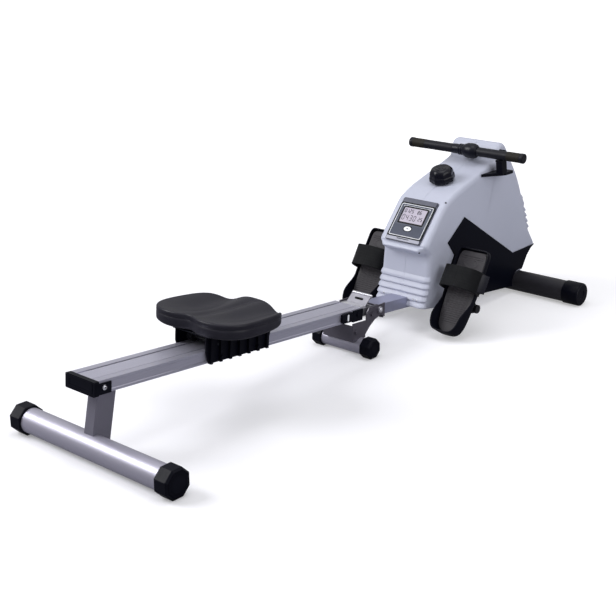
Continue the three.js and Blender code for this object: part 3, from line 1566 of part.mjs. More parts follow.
function drivePulley() {
  const middle = (pulleyStart + pulleyEnd) / 2;
  const webHalf = pulleyWeb / 2;
  const rim = pulleyRadius - pulleyRimWidth;
  const profile = [
    [0, pulleyStart],
    [pulleyHubRadius, pulleyStart],
    [pulleyHubRadius, middle - webHalf],
    [rim, middle - webHalf],
    [rim, pulleyStart],
    [pulleyRadius, pulleyStart],
    [pulleyRadius, pulleyEnd],
    [rim, pulleyEnd],
    [rim, middle + webHalf],
    [pulleyHubRadius, middle + webHalf],
    [pulleyHubRadius, pulleyEnd],
    [0, pulleyEnd],
  ];
  const holes = [];
  const holeReach = (pulleyHubRadius + rim) / 2;
  for (let i = 0; i < pulleyHoleCount; i += 1) {
    const angle = ((2 * Math.PI) / pulleyHoleCount) * i;
    const x = holeReach * Math.cos(angle);
    holes.push(rodY(pulleyHubRadius, pulleyStart, pulleyEnd, x, holeReach * Math.sin(angle), smallSides));
  }
  const shaft = rodY(shaftRadius, -supportOuter - overrun, shaftHalf);
  return cutBy(solid(turnedY(profile, fineSides)), ...holes).add(solid(shaft));
}
addPart(driveGroup, "drive_pulley", drivePulley(), rollerPlastic);

const clutch = turnedY([
  [shaftBore, -spoolInnerHalfWidth],
  [clutchRadius, -spoolInnerHalfWidth],
  [clutchRadius, spoolInnerHalfWidth],
  [shaftBore, spoolInnerHalfWidth],
  [shaftBore, -spoolInnerHalfWidth],
]);
addPart(driveGroup, "one_way_bearing", clutch, steel);

function strapSpool() {
  const flangeEnd = spoolInnerHalfWidth + spoolFlangeThickness;
  const bore = clutchRadius + seatGap;
  const profile = [
    [bore, -springEnd],
    [spoolHubRadius, -springEnd],
    [spoolHubRadius, -flangeEnd],
    [spoolFlangeRadius, -flangeEnd],
    [spoolFlangeRadius, -spoolInnerHalfWidth],
    [spoolWoundRadius, -spoolInnerHalfWidth],
    [spoolWoundRadius, spoolInnerHalfWidth],
    [spoolFlangeRadius, spoolInnerHalfWidth],
    [spoolFlangeRadius, flangeEnd],
    [bore, flangeEnd],
    [bore, -springEnd],
  ];
  return solid(turnedY(profile));
}
addPart(driveGroup, "strap_spool", strapSpool(), blackPlastic);

function recoilSpring() {
  const outer = [];
  const inner = [];
  const steps = springTurns * springStepsPerTurn;
  for (let i = 0; i <= steps; i += 1) {
    const turn = i / springStepsPerTurn;
    const angle = 2 * Math.PI * turn;
    const reach = springInnerRadius + springPitch * turn;
    const half = springThickness / 2;
    outer.push([(reach + half) * Math.cos(angle), (reach + half) * Math.sin(angle)]);
    inner.push([(reach - half) * Math.cos(angle), (reach - half) * Math.sin(angle)]);
  }
  return solid(alongY(polygon([...outer, ...inner.reverse()]), -springEnd, -springStart));
}
addPart(driveGroup, "recoil_spring", recoilSpring(), steel);

// Belt round the two pulleys
function beltLoop(reach) {
  const dx = drumX - driveX;
  const dz = drumZ - driveZ;
  const along = Math.atan2(dz, dx);
  const spread = Math.acos((pulleyRadius - smallPulleyRadius) / Math.hypot(dx, dz));
  const points = [];
  const arc = (x, z, radius, from, to, steps) => {
    const stretch = Math.cos((to - from) / steps / 2);
    for (let i = 0; i <= steps; i += 1) {
      const angle = from + ((to - from) * i) / steps;
      points.push([x + (radius / stretch) * Math.cos(angle), z + (radius / stretch) * Math.sin(angle)]);
    }
  };
  arc(driveX, driveZ, pulleyRadius + reach, along + spread, along + 2 * Math.PI - spread, beltLargeSteps);
  arc(drumX, drumZ, smallPulleyRadius + reach, along - spread, along + spread, beltSmallSteps);
  return polygon(points);
}
const beltStart = (pulleyStart + pulleyEnd - beltWidth) / 2;
const beltBody = solid(alongY(beltLoop(seatGap + beltThickness), beltStart, beltStart + beltWidth));
const beltRoom = alongY(beltLoop(seatGap), beltStart - overrun, beltStart + beltWidth + overrun);
addPart(machine, "drive_belt", cutBy(beltBody, beltRoom), beltRubber);

// Brake cable, from the knob's drum to the support plate beside the yoke
function brakeCable() {
  const start = new THREE.Vector3(0, -knobSpoolRadius - cableRadius, knobSpoolHeight / 2 - knobStemLength);
  start.applyMatrix4(knobFrame);
  const beside = -supportOuter - cableRadius - seatGap;
  const points = [
    start,
    new THREE.Vector3(start.x + cableBend, (start.y + beside) / 2, start.z),
    new THREE.Vector3(cableEndX - cableBend / 2, beside - cableRadius, cableEndZ + 2 * cableBend),
    new THREE.Vector3(cableEndX, beside, cableEndZ + cableBend),
    new THREE.Vector3(cableEndX, beside, cableEndZ),
  ];
  const shape = new THREE.Shape();
  shape.absarc(0, 0, cableRadius, 0, 2 * Math.PI);
  const options = {
    steps: cableSteps,
    curveSegments: cableSides / 2,
    bevelEnabled: false,
    extrudePath: new THREE.CatmullRomCurve3(points),
  };
  return solid(new THREE.ExtrudeGeometry(shape, options));
}
addPart(machine, "brake_cable", brakeCable(), blackPlastic);

// Pedal axle, with spacers between the housing and the footplates
function pedalAxle() {
  const rod = rodY(pedalAxleRadius, -pedalAxleHalfLength, pedalAxleHalfLength, 0, 0, smallSides);
  const lugEnd = pedalY + lugHalfSpacing + lugThickness / 2 + runGap;
  const nut = rodY(pedalAxleRadius + bracketThickness * 2, lugEnd, pedalAxleHalfLength, 0, 0, smallSides);
  const lugStart = pedalY - lugHalfSpacing - lugThickness / 2 - runGap;
  const spacer = rodY(pedalAxleRadius + bracketThickness, housingHalfWidth + runGap, lugStart);
  return joined(rod, nut, mirrored(nut), spacer, mirrored(spacer));
}
addPart(machine, "pedal_axle", pedalAxle(), steel).position.set(pedalX, 0, pedalZ);

// Footplate: a tray with a heel cup on two lugs, a ribbed tread and a band over the foot
const soleHalf = soleShares.map(([along, out]) => [
  soleHeel + (soleToe - soleHeel) * along,
  soleBallHalfWidth * out,
]);
const soleOutline = [...soleHalf.map(([x, y]) => [x, -y]), ...[...soleHalf].reverse()];

// Draws an outline round the origin inwards by moving each point towards the middle line
function shrunk(points, amount) {
  const middle = (soleHeel + soleToe) / 2;
  const half = (soleToe - soleHeel) / 2;
  return points.map(([x, y]) => [
    middle + ((x - middle) * (half - amount)) / half,
    (y * (soleBallHalfWidth - amount)) / soleBallHalfWidth,
  ]);
}

function footplate() {
  const rim = soleBottom + soleThickness + treadThickness + soleRimHeight;
  const floor = soleBottom + soleThickness;
  const cupTop = floor + heelCupHeight;
  const outer = solid(alongZ(polygon(soleOutline), soleBottom, cupTop));
  const room = alongZ(polygon(shrunk(soleOutline, soleRimWidth)), floor, cupTop + overrun);
  const front = soleHeel + heelCupLength;
  const wide = 2 * soleBallHalfWidth;
  const trim = alongY(
    polygon([
      [soleHeel + heelCupLength / 3, cupTop + overrun],
      [front, rim],
      [soleToe + overrun, rim],
      [soleToe + overrun, cupTop + overrun],
    ]),
    -wide,
    wide,
  );
  const lug = (y) => {
    const low = lugRadius * Math.cos(Math.PI / 4);
    const high = floor - seatGap;
    const wedge = polygon([[-low, -low], [low, -low], [lugFootHalf, high], [-lugFootHalf, high]]);
    const start = y - lugThickness / 2;
    const end = start + lugThickness;
    return solid(rodY(lugRadius, start, end)).add(solid(alongY(wedge, start, end)));
  };
  const bore = rodY(pedalAxleRadius + seatGap, -wide, wide, 0, 0, smallSides);
  return cutBy(outer, room, trim).add(lug(lugHalfSpacing)).add(lug(-lugHalfSpacing)).subtract(solid(bore));
}

function tread() {
  const low = soleBottom + soleThickness + seatGap;
  const top = low + treadThickness;
  const pad = solid(alongZ(polygon(shrunk(soleOutline, soleRimWidth + seatGap)), low, top));
  const pitch = (soleToe - soleHeel - treadGroovePlain) / treadGrooveCount;
  const grooves = [];
  for (let i = 0; i < treadGrooveCount; i += 1) {
    const x = soleHeel + treadGroovePlain / 2 + (i + treadGrooveShare) * pitch;
    const wide = soleBallHalfWidth * treadGrooveWide;
    grooves.push(block(x, x + pitch * treadGrooveShare, -wide, wide, top - treadGrooveDepth, top + overrun));
  }
  return cutBy(pad, ...grooves);
}

function footStrap() {
  const side = soleBallHalfWidth + seatGap;
  const spread = side + strapBandSpread;
  const base = soleBottom + strapBandThickness;
  const shoulder = soleBottom + soleThickness + treadThickness + soleRimHeight;
  const top = shoulder + strapBandHeight;
  const spring = shoulder + strapBandRise;
  const outer = [[side + strapBandThickness, base], [side + strapBandThickness, shoulder]];
  const inner = [[side, base], [side, shoulder]];
  for (let i = 0; i <= strapBandSteps; i += 1) {
    const angle = ((Math.PI / 2) * i) / strapBandSteps;
    const reach = Math.cos(angle) ** strapBandPower;
    const rise = Math.sin(angle) ** strapBandPower;
    outer.push([(spread + strapBandThickness) * reach, spring + (top - spring) * rise]);
    inner.push([spread * reach, spring + (top - strapBandThickness - spring) * rise]);
  }
  const flip = (list) => list.slice(0, -1).reverse().map(([y, z]) => [-y, z]);
  const ring = [...outer, ...flip(outer), ...[...inner, ...flip(inner)].reverse()];
  const half = strapBandWidth / 2;
  return solid(alongX(polygon(ring), strapBandX - half, strapBandX + half));
}

const plateSolid = footplate();
const treadSolid = tread();
const strapSolid = footStrap();
for (const [side, sign] of [["left", 1], ["right", -1]]) {
  const pedal = new THREE.Group();
  pedal.position.set(pedalX, sign * pedalY, pedalZ);
  pedal.rotation.y = -pedalAngle;
  machine.add(pedal);
  addPart(pedal, `footplate_${side}`, plateSolid, blackPlastic);
  addPart(pedal, `tread_${side}`, treadSolid, treadRubber);
  addPart(pedal, `foot_strap_${side}`, strapSolid, strapWeb);
}

// Seat carriage: a deck over the rail with finned skirts and two axles of rollers
const seatGroup = new THREE.Group();
seatGroup.position.set(seatX, 0, 0);
railGroup.add(seatGroup);

const wheelZ = wheelRadius + seatGap;
function seatCarriage() {
  const half = carriageHalfLength;
  const inner = railWidth / 2 + carriageSideGap;
  const wallEnd = inner + carriageWall;
  const low = -carriageSkirtDrop;
  const deckLow = carriageTop - carriageDeck;
  const deckShape = roundedPolygon(
    [
      [-half, deckLow],
      [half, deckLow],
      [half, deckLow + carriageDeck / 2],
      [half - carriageDeck, carriageTop],
      [carriageDeck - half, carriageTop],
      [-half, deckLow + carriageDeck / 2],
    ],
    carriageEdgeRound,
  );
  const deck = alongY(deckShape, -carriageHalfWidth, carriageHalfWidth);
  const skirtShape = polygon([
    [-half, carriageTop - carriageDeck / 2],
    [-half, carriageShoulderZ],
    [carriageFoot - half, low],
    [half - carriageFoot, low],
    [half, carriageShoulderZ],
    [half, carriageTop - carriageDeck / 2],
  ]);
  const skirt = alongY(skirtShape, inner, wallEnd);
  const fins = [];
  const pitch = (2 * (half - carriageFoot) - carriageFinWidth) / (carriageFinCount - 1);
  for (let i = 0; i < carriageFinCount; i += 1) {
    const x = carriageFoot - half + i * pitch;
    const finEnd = carriageHalfWidth - carriageFinSetback;
    fins.push(block(x, x + carriageFinWidth, wallEnd - seatGap, finEnd, low, deckLow + seatGap));
  }
  const head = carriageHalfWidth + carriageStudProud;
  const studZ = low + 2 * stopBoltRadius;
  const stud = (x) => rodY(stopBoltRadius, wallEnd - seatGap, head, x, studZ, smallSides);
  const studs = [stud(wheelAxleX - stopBoltRadius), stud(stopBoltRadius - wheelAxleX)];
  const side = [skirt, ...fins, ...studs];
  const body = joined(deck, ...side, ...side.map(mirrored));
  const bore = (x) => rodY(wheelAxleRadius + seatGap, -wallEnd, wallEnd, x, wheelZ, smallSides);
  return cutBy(body, bore(-wheelAxleX), bore(wheelAxleX));
}
const carriageGroup = new THREE.Group();
carriageGroup.position.set(carriageShift, 0, 0);
seatGroup.add(carriageGroup);
addPart(carriageGroup, "seat_carriage", seatCarriage(), blackPlastic);

function wheelset() {
  const end = railWidth / 2 + carriageSideGap + carriageWall - seatGap;
  const axle = rodY(wheelAxleRadius, -end, end, 0, 0, smallSides);
  const roll = rodY(wheelRadius, wheelTrackY - wheelHalfWidth, wheelTrackY + wheelHalfWidth);
  return joined(axle, roll, mirrored(roll));
}
const rearRollers = addPart(carriageGroup, "seat_rollers_rear", wheelset(), rollerPlastic);
rearRollers.position.set(-wheelAxleX, 0, wheelZ);
const frontRollers = addPart(carriageGroup, "seat_rollers_front", wheelset(), rollerPlastic);
frontRollers.position.set(wheelAxleX, 0, wheelZ);

// Seat cushion: a padded shell with two dished halves, a groove between and a notch at each end
function seatEdge(angle) {
  const c = Math.abs(Math.cos(angle));
  const s = Math.abs(Math.sin(angle));
  const power = seatSquareness;
  const reach = ((c / seatHalfLength) ** power + (s / seatHalfWidth) ** power) ** (-1 / power);
  const fromRear = Math.atan2(Math.sin(angle), -Math.cos(angle));
  const rear = rearNotchDepth * Math.exp(-((fromRear / notchHalfAngle) ** 2));
  const x = (reach - rear) * Math.cos(angle);
  const forward = (x / seatHalfLength + 1) / 2;
  return [x, (reach - rear) * Math.sin(angle) * (1 - (1 - seatFrontShare) * forward ** 2)];
}

// Hollows for the thighs in the front edge, one each side of its middle
function thighDip(x, y) {
  const across = (Math.abs(y) - thighDipY) / thighDipWidth;
  return thighDipDepth * Math.exp(-(across ** 2) - ((x - seatHalfLength) / thighDipLength) ** 2);
}

function seatTop(x, y, share) {
  const lobe = Math.exp(-(((Math.abs(y) - seatLobeY) / seatLobeWidth) ** 2) - (x / seatLobeLength) ** 2);
  const valley = Math.exp(-((y / seatValleyWidth) ** 2));
  const fade = 1 - share ** 4;
  return seatRim - thighDip(x, y) - fade * (seatDishDepth * lobe + seatValleyDepth * valley);
}

function seatCushion() {
  const rings = [];
  const low = carriageTop + seatGap;
  const flat = (share, z) => rings.push({ share, height: () => z });
  flat(seatUnderShare, low);
  flat(seatUnderShare + (1 - seatUnderShare) * seatFlankShare, low + seatEdgeRound / 2);
  flat(1, low + seatFlankDrop);
  const risen = (share, drop) => rings.push({ share, height: (x, y) => seatRim - thighDip(x, y) - drop });
  risen(1, seatFlankDrop);
  risen(seatShoulderShare, seatEdgeRound / 2);
  for (let k = 0; k < seatRings; k += 1) {
    const share = seatCrestShare * (1 - k / seatRings);
    rings.push({ share, height: (x, y) => seatTop(x, y, share) });
  }
  const position = [];
  for (const { share, height } of rings) {
    for (let i = 0; i < seatSpokes; i += 1) {
      const angle = (2 * Math.PI * i) / seatSpokes;
      const [edgeX, edgeY] = seatEdge(angle);
      position.push(edgeX * share, edgeY * share, height(edgeX * share, edgeY * share));
    }
  }
  const bottom = position.length / 3;
  position.push(0, 0, low, 0, 0, seatTop(0, 0, 0));
  const index = [];
  for (let k = 0; k + 1 < rings.length; k += 1) {
    for (let i = 0; i < seatSpokes; i += 1) {
      const a = k * seatSpokes + i;
      const b = k * seatSpokes + ((i + 1) % seatSpokes);
      index.push(a, b, b + seatSpokes, a, b + seatSpokes, a + seatSpokes);
    }
  }
  const last = (rings.length - 1) * seatSpokes;
  for (let i = 0; i < seatSpokes; i += 1) {
    const next = (i + 1) % seatSpokes;
    index.push(bottom, next, i, bottom + 1, last + i, last + next);
  }
  const geometry = new THREE.BufferGeometry();
  geometry.setAttribute("position", new THREE.Float32BufferAttribute(position, 3));
  geometry.setIndex(index);
  return solid(geometry);
}
addPart(seatGroup, "seat_cushion", seatCushion(), seatFoam);

// Zero along X is half way between the rear caps and the nose of the housing
const rearmost = railRear - endCapThickness;
const rearEnd = Math.min(-rearCapFlatRadius, rearmost);
const noseX = Math.max(...housingOutline.map(([x]) => x));
machine.position.x = -(rearEnd + noseX) / 2;
const rowingMachine = new THREE.Group();
rowingMachine.add(machine);
export default rowingMachine;
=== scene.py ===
import math
import bmesh
import bpy
import numpy as np
from mathutils import Matrix, Vector
from mathutils.bvhtree import BVHTree


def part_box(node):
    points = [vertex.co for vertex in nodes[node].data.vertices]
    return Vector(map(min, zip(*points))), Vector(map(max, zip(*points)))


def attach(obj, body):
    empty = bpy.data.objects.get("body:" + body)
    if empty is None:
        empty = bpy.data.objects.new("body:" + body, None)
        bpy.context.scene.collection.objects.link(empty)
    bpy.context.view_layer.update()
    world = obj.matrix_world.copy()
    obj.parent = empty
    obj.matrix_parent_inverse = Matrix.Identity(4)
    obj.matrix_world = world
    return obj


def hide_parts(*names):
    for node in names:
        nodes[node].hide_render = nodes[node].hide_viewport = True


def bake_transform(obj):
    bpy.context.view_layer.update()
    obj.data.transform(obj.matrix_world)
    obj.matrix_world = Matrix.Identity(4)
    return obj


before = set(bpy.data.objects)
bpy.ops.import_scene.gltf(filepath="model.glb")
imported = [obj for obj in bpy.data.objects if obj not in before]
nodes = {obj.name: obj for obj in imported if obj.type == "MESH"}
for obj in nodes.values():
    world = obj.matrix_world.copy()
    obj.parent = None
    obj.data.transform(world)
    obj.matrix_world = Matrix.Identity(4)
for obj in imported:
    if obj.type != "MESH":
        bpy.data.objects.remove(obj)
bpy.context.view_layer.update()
print("frame loaded:", len(nodes), "nodes")

# machine millimetres count from the rear foot's axis, and the frame counts from the middle
footLow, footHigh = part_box("rear_stabiliser_tube")
rearFootX = -500 * (footLow[0] + footHigh[0])
railTopAtRear = 213.9
railSlope = math.atan(0.08)  # the rail falls 8 mm in 100 towards the front
pullAngle = math.atan(0.11)  # the pull strap falls 11 mm in 100
bothSides = (("left", 1), ("right", -1))
mergeDistance = 1e-6


# small tools

def toFrame(points):
    # machine millimetres to frame metres
    out = np.array(points, dtype=float)
    out[..., 0] -= rearFootX
    return out / 1000


def turnedAboutY(points, origin, angle):
    # x and z turned by angle about +Y, as the frame's hinges turn, then carried to the origin
    x, y, z = np.moveaxis(np.array(points, dtype=float), -1, 0)
    c, s = math.cos(angle), math.sin(angle)
    return np.stack([origin[0] + x * c + z * s, origin[1] + y, origin[2] - x * s + z * c], axis=-1)


def onRail(points):
    return turnedAboutY(points, (0, 0, railTopAtRear), railSlope)


def smooth(edge0, edge1, value):
    # 0 below the first edge, 1 above the second, with a soft cubic rise between
    t = np.clip((value - edge0) / (edge1 - edge0), 0, 1)
    return t * t * (3 - 2 * t)


def unit(vectors):
    return vectors / np.linalg.norm(vectors, axis=1, keepdims=True)


def squareTo(along):
    # unit arrows a quarter turn to the left of the given ones
    way = unit(along)
    return np.column_stack([-way[:, 1], way[:, 0]])


def softCorners(points, reach, samples=5, closed=True):
    # each corner of an outline becomes a parabola that starts and ends at most reach from it
    pts = np.array(points, dtype=float)
    reach = np.broadcast_to(reach, (len(pts),))
    mostOfEdge = 0.49
    out = []
    for i, corner in enumerate(pts):
        if not closed and i in (0, len(pts) - 1):
            out.append(corner)
            continue
        before, after = pts[i - 1] - corner, pts[(i + 1) % len(pts)] - corner
        a, b = np.linalg.norm(before), np.linalg.norm(after)
        start = corner + before / a * min(reach[i], a * mostOfEdge)
        end = corner + after / b * min(reach[i], b * mostOfEdge)
        for t in np.linspace(0, 1, samples):
            out.append((1 - t) ** 2 * start + 2 * t * (1 - t) * corner + t * t * end)
    return np.array(out)


def finishMesh(name, points, faces, body, finish, flat=False, sharp=40):
    # a mesh from whole arrays: doubles merged, normals outwards, shaded smooth below an angle, and
    # tied to its body and given the material of its finish
    material = paints[finish]
    mesh = bpy.data.meshes.new(name)
    mesh.from_pydata(points.reshape(-1, 3).tolist(), [], faces.tolist())
    shape = bmesh.new()
    shape.from_mesh(mesh)
    bmesh.ops.remove_doubles(shape, verts=shape.verts, dist=mergeDistance)
    bmesh.ops.recalc_face_normals(shape, faces=shape.faces)
    shape.to_mesh(mesh)
    shape.free()
    if flat:
        mesh.shade_flat()
    else:
        mesh.shade_smooth()
        mesh.set_sharp_from_angle(angle=math.radians(sharp))
    piece = bpy.data.objects.new(name, mesh)
    bpy.context.scene.collection.objects.link(piece)
    mesh.materials.append(material)
    if body:
        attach(piece, body)
    return piece


def gridPiece(name, points, body, finish, loopRows=False, loopColumns=True, **rest):
    # points is rows x columns x 3 in machine millimetres. The faces are the grid's quads, and a
    # looped direction also joins its last line to its first.
    rows, columns = points.shape[:2]
    i, j = np.meshgrid(np.arange(rows if loopRows else rows - 1),
                       np.arange(columns if loopColumns else columns - 1), indexing="ij")
    down, right = (i + 1) % rows, (j + 1) % columns
    quads = [i * columns + j, down * columns + j, down * columns + right, i * columns + right]
    faces = np.stack(quads, axis=-1).reshape(-1, 4)
    return finishMesh(name, toFrame(points), faces, body, finish, **rest)


def turned(profile, sides):
    # a profile of (radius, along) carried round the Y axis; radius 0 closes an end
    p = np.array(profile, dtype=float)
    angle = np.linspace(0, 2 * np.pi, sides, endpoint=False)
    x = p[:, :1] * np.cos(angle)
    z = p[:, :1] * np.sin(angle)
    return np.stack([x, np.broadcast_to(p[:, 1:], x.shape), z], axis=-1)


def carried(path, section):
    # a closed section (across, out) carried along an (x, z) path: across lies along Y, and out
    # along the path's normal
    path = np.array(path, dtype=float)
    normal = squareTo(np.gradient(path, axis=0))
    x = path[:, :1] + normal[:, :1] * section[:, 1]
    z = path[:, 1:] + normal[:, 1:] * section[:, 1]
    return np.stack([x, np.broadcast_to(section[:, 0], x.shape), z], axis=-1)


def roundedSection(width, height, radius, samples=4):
    # a rectangle with rounded corners as (across, out), run round once
    w, h = width / 2, height / 2
    return softCorners([(-w, -h), (w, -h), (w, h), (-w, h)], radius, samples)


def lifted(outline, z):
    # a flat outline at one height, or at a height for each of its points
    return np.column_stack([outline, np.broadcast_to(z, len(outline))])


def closedEnds(points):
    # a tube of sections gets a centre point at each end, so that it closes
    first = np.broadcast_to(points[0].mean(axis=0), points[0].shape)
    last = np.broadcast_to(points[-1].mean(axis=0), points[-1].shape)
    return np.concatenate([first[None], points, last[None]])


def plateStack(outline, levels):
    # a plate from its (x, y) outline: each level is (z, inset), and both faces close at the middle
    outline = np.array(outline, dtype=float)
    after = np.roll(outline, -1, axis=0)
    inward = squareTo(after - np.roll(outline, 1, axis=0))
    area = np.sum(outline[:, 0] * after[:, 1] - after[:, 0] * outline[:, 1])
    inward *= 1 if area > 0 else -1
    return closedEnds(np.array([lifted(outline + inward * inset, z) for z, inset in levels]))


# finishes

def linear(code):
    # sRGB hex to the linear colour that the shader reads
    parts = [int(code[i:i + 2], 16) / 255 for i in (1, 3, 5)]
    return tuple(p / 12.92 if p <= 0.04045 else ((p + 0.055) / 1.055) ** 2.4 for p in parts) + (1.0,)


def addNode(tree, kind, settings=None, links=None):
    # one node: settings are its own attributes or its sockets' values, links are what feeds it
    node = tree.nodes.new(kind)
    for key, value in (settings or {}).items():
        if isinstance(key, str) and hasattr(node, key):
            setattr(node, key, value)
        else:
            node.inputs[key].default_value = value
    for key, source in (links or {}).items():
        tree.links.new(source, node.inputs[key])
    return node


def newMaterial(name):
    material = bpy.data.materials.new(name)
    material.use_nodes = True
    tree = material.node_tree
    tree.nodes.clear()
    return material, tree


def startFinish(name, patchMm, detail):
    # every finish starts with object coordinates and noise in patches of about that size
    material, tree = newMaterial(name)
    coords = addNode(tree, "ShaderNodeTexCoord").outputs["Object"]
    patch = addNode(tree, "ShaderNodeTexNoise", {"Scale": 1000 / patchMm, "Detail": detail}, {"Vector": coords})
    return material, tree, coords, patch.outputs[0]


def endFinish(tree, look, share, patch, drift, values, height=None, speck=None):
    # every finish ends with two tones mixed by a share, roughness that drifts over the patches and
    # the shader. A speck lightens and darkens the tones, and a height is pressed in by bump.
    first, second = (linear(code) for code in look["tones"])
    tone = addNode(tree, "ShaderNodeMix", {"data_type": "RGBA", 6: first, 7: second}, {0: share})
    rough = addNode(tree, "ShaderNodeMapRange", drift, {"Value": patch})
    links = {"Base Color": tone.outputs[2], "Roughness": rough.outputs[0]}
    if speck is not None:
        scaled = addNode(tree, "ShaderNodeVectorMath", {"operation": "SCALE"}, {0: tone.outputs[2], "Scale": speck})
        links["Base Color"] = scaled.outputs[0]
    if height is not None:
        bump = addNode(tree, "ShaderNodeBump", {"Strength": look["press"], "Distance": look["depth"] / 1000},
                       {"Height": height})
        links["Normal"] = bump.outputs[0]
    shader = addNode(tree, "ShaderNodeBsdfPrincipled", values, links)
    addNode(tree, "ShaderNodeOutputMaterial", None, {"Surface": shader.outputs[0]})


noiseRange = {"From Min": 0.3, "From Max": 0.7}  # most of a noise texture's values lie between
# what a finish has where it says nothing else; patch, grain and depth are in mm
plainLook = dict(spread=0.06, metal=0.0, spec=0.5, coat=0.0, sheen=0.0, patch=60, grain=1.2,
                 stretch=(1, 1, 1), depth=0.05, press=0.25, speck=0.04)


def surface(name, look):
    # colour drifts between two tones, roughness drifts round its value, and a fine grain, drawn out
    # along an axis where stretch is small, is pressed in by bump
    look = {**plainLook, **look}
    material, tree, coords, patch = startFinish(name, look["patch"], 4.0)
    mapped = addNode(tree, "ShaderNodeMapping", {"Scale": look["stretch"]}, {"Vector": coords})
    grain = addNode(tree, "ShaderNodeTexNoise", {"Scale": 1000 / look["grain"], "Detail": 2.0},
                    {"Vector": mapped.outputs[0]}).outputs[0]
    ramp = addNode(tree, "ShaderNodeMapRange", noiseRange, {"Value": patch})
    speck = addNode(tree, "ShaderNodeMapRange",
                    {**noiseRange, "To Min": 1 - look["speck"], "To Max": 1 + look["speck"]}, {"Value": grain})
    drift = {**noiseRange, "To Min": look["rough"] - look["spread"], "To Max": look["rough"] + look["spread"]}
    values = {"Metallic": look["metal"], "Specular IOR Level": look["spec"], "Coat Weight": look["coat"],
              "Coat Roughness": 0.15, "Sheen Weight": look["sheen"], "Sheen Roughness": 0.5}
    endFinish(tree, look, ramp.outputs[0], patch, drift, values, grain, speck.outputs[0])
    return material


# powder coat on tube: satin metallic paint whose highlight runs as one clean line; its orange peel
# is too fine to show, so it is drawn 4 mm across and very shallow
powderCoat = dict(spread=0.02, metal=0.5, rough=0.38, patch=240, grain=4, depth=0.01, press=0.1, speck=0.0)
# zinc on steel: bright and faintly cloudy
zinc = dict(patch=40, grain=3, depth=0.01, press=0.1, speck=0.0)
# moulded nylon: dark with a spark-eroded grain that keeps its highlights wide and soft
nylon = dict(patch=40, grain=0.9, speck=0.05)
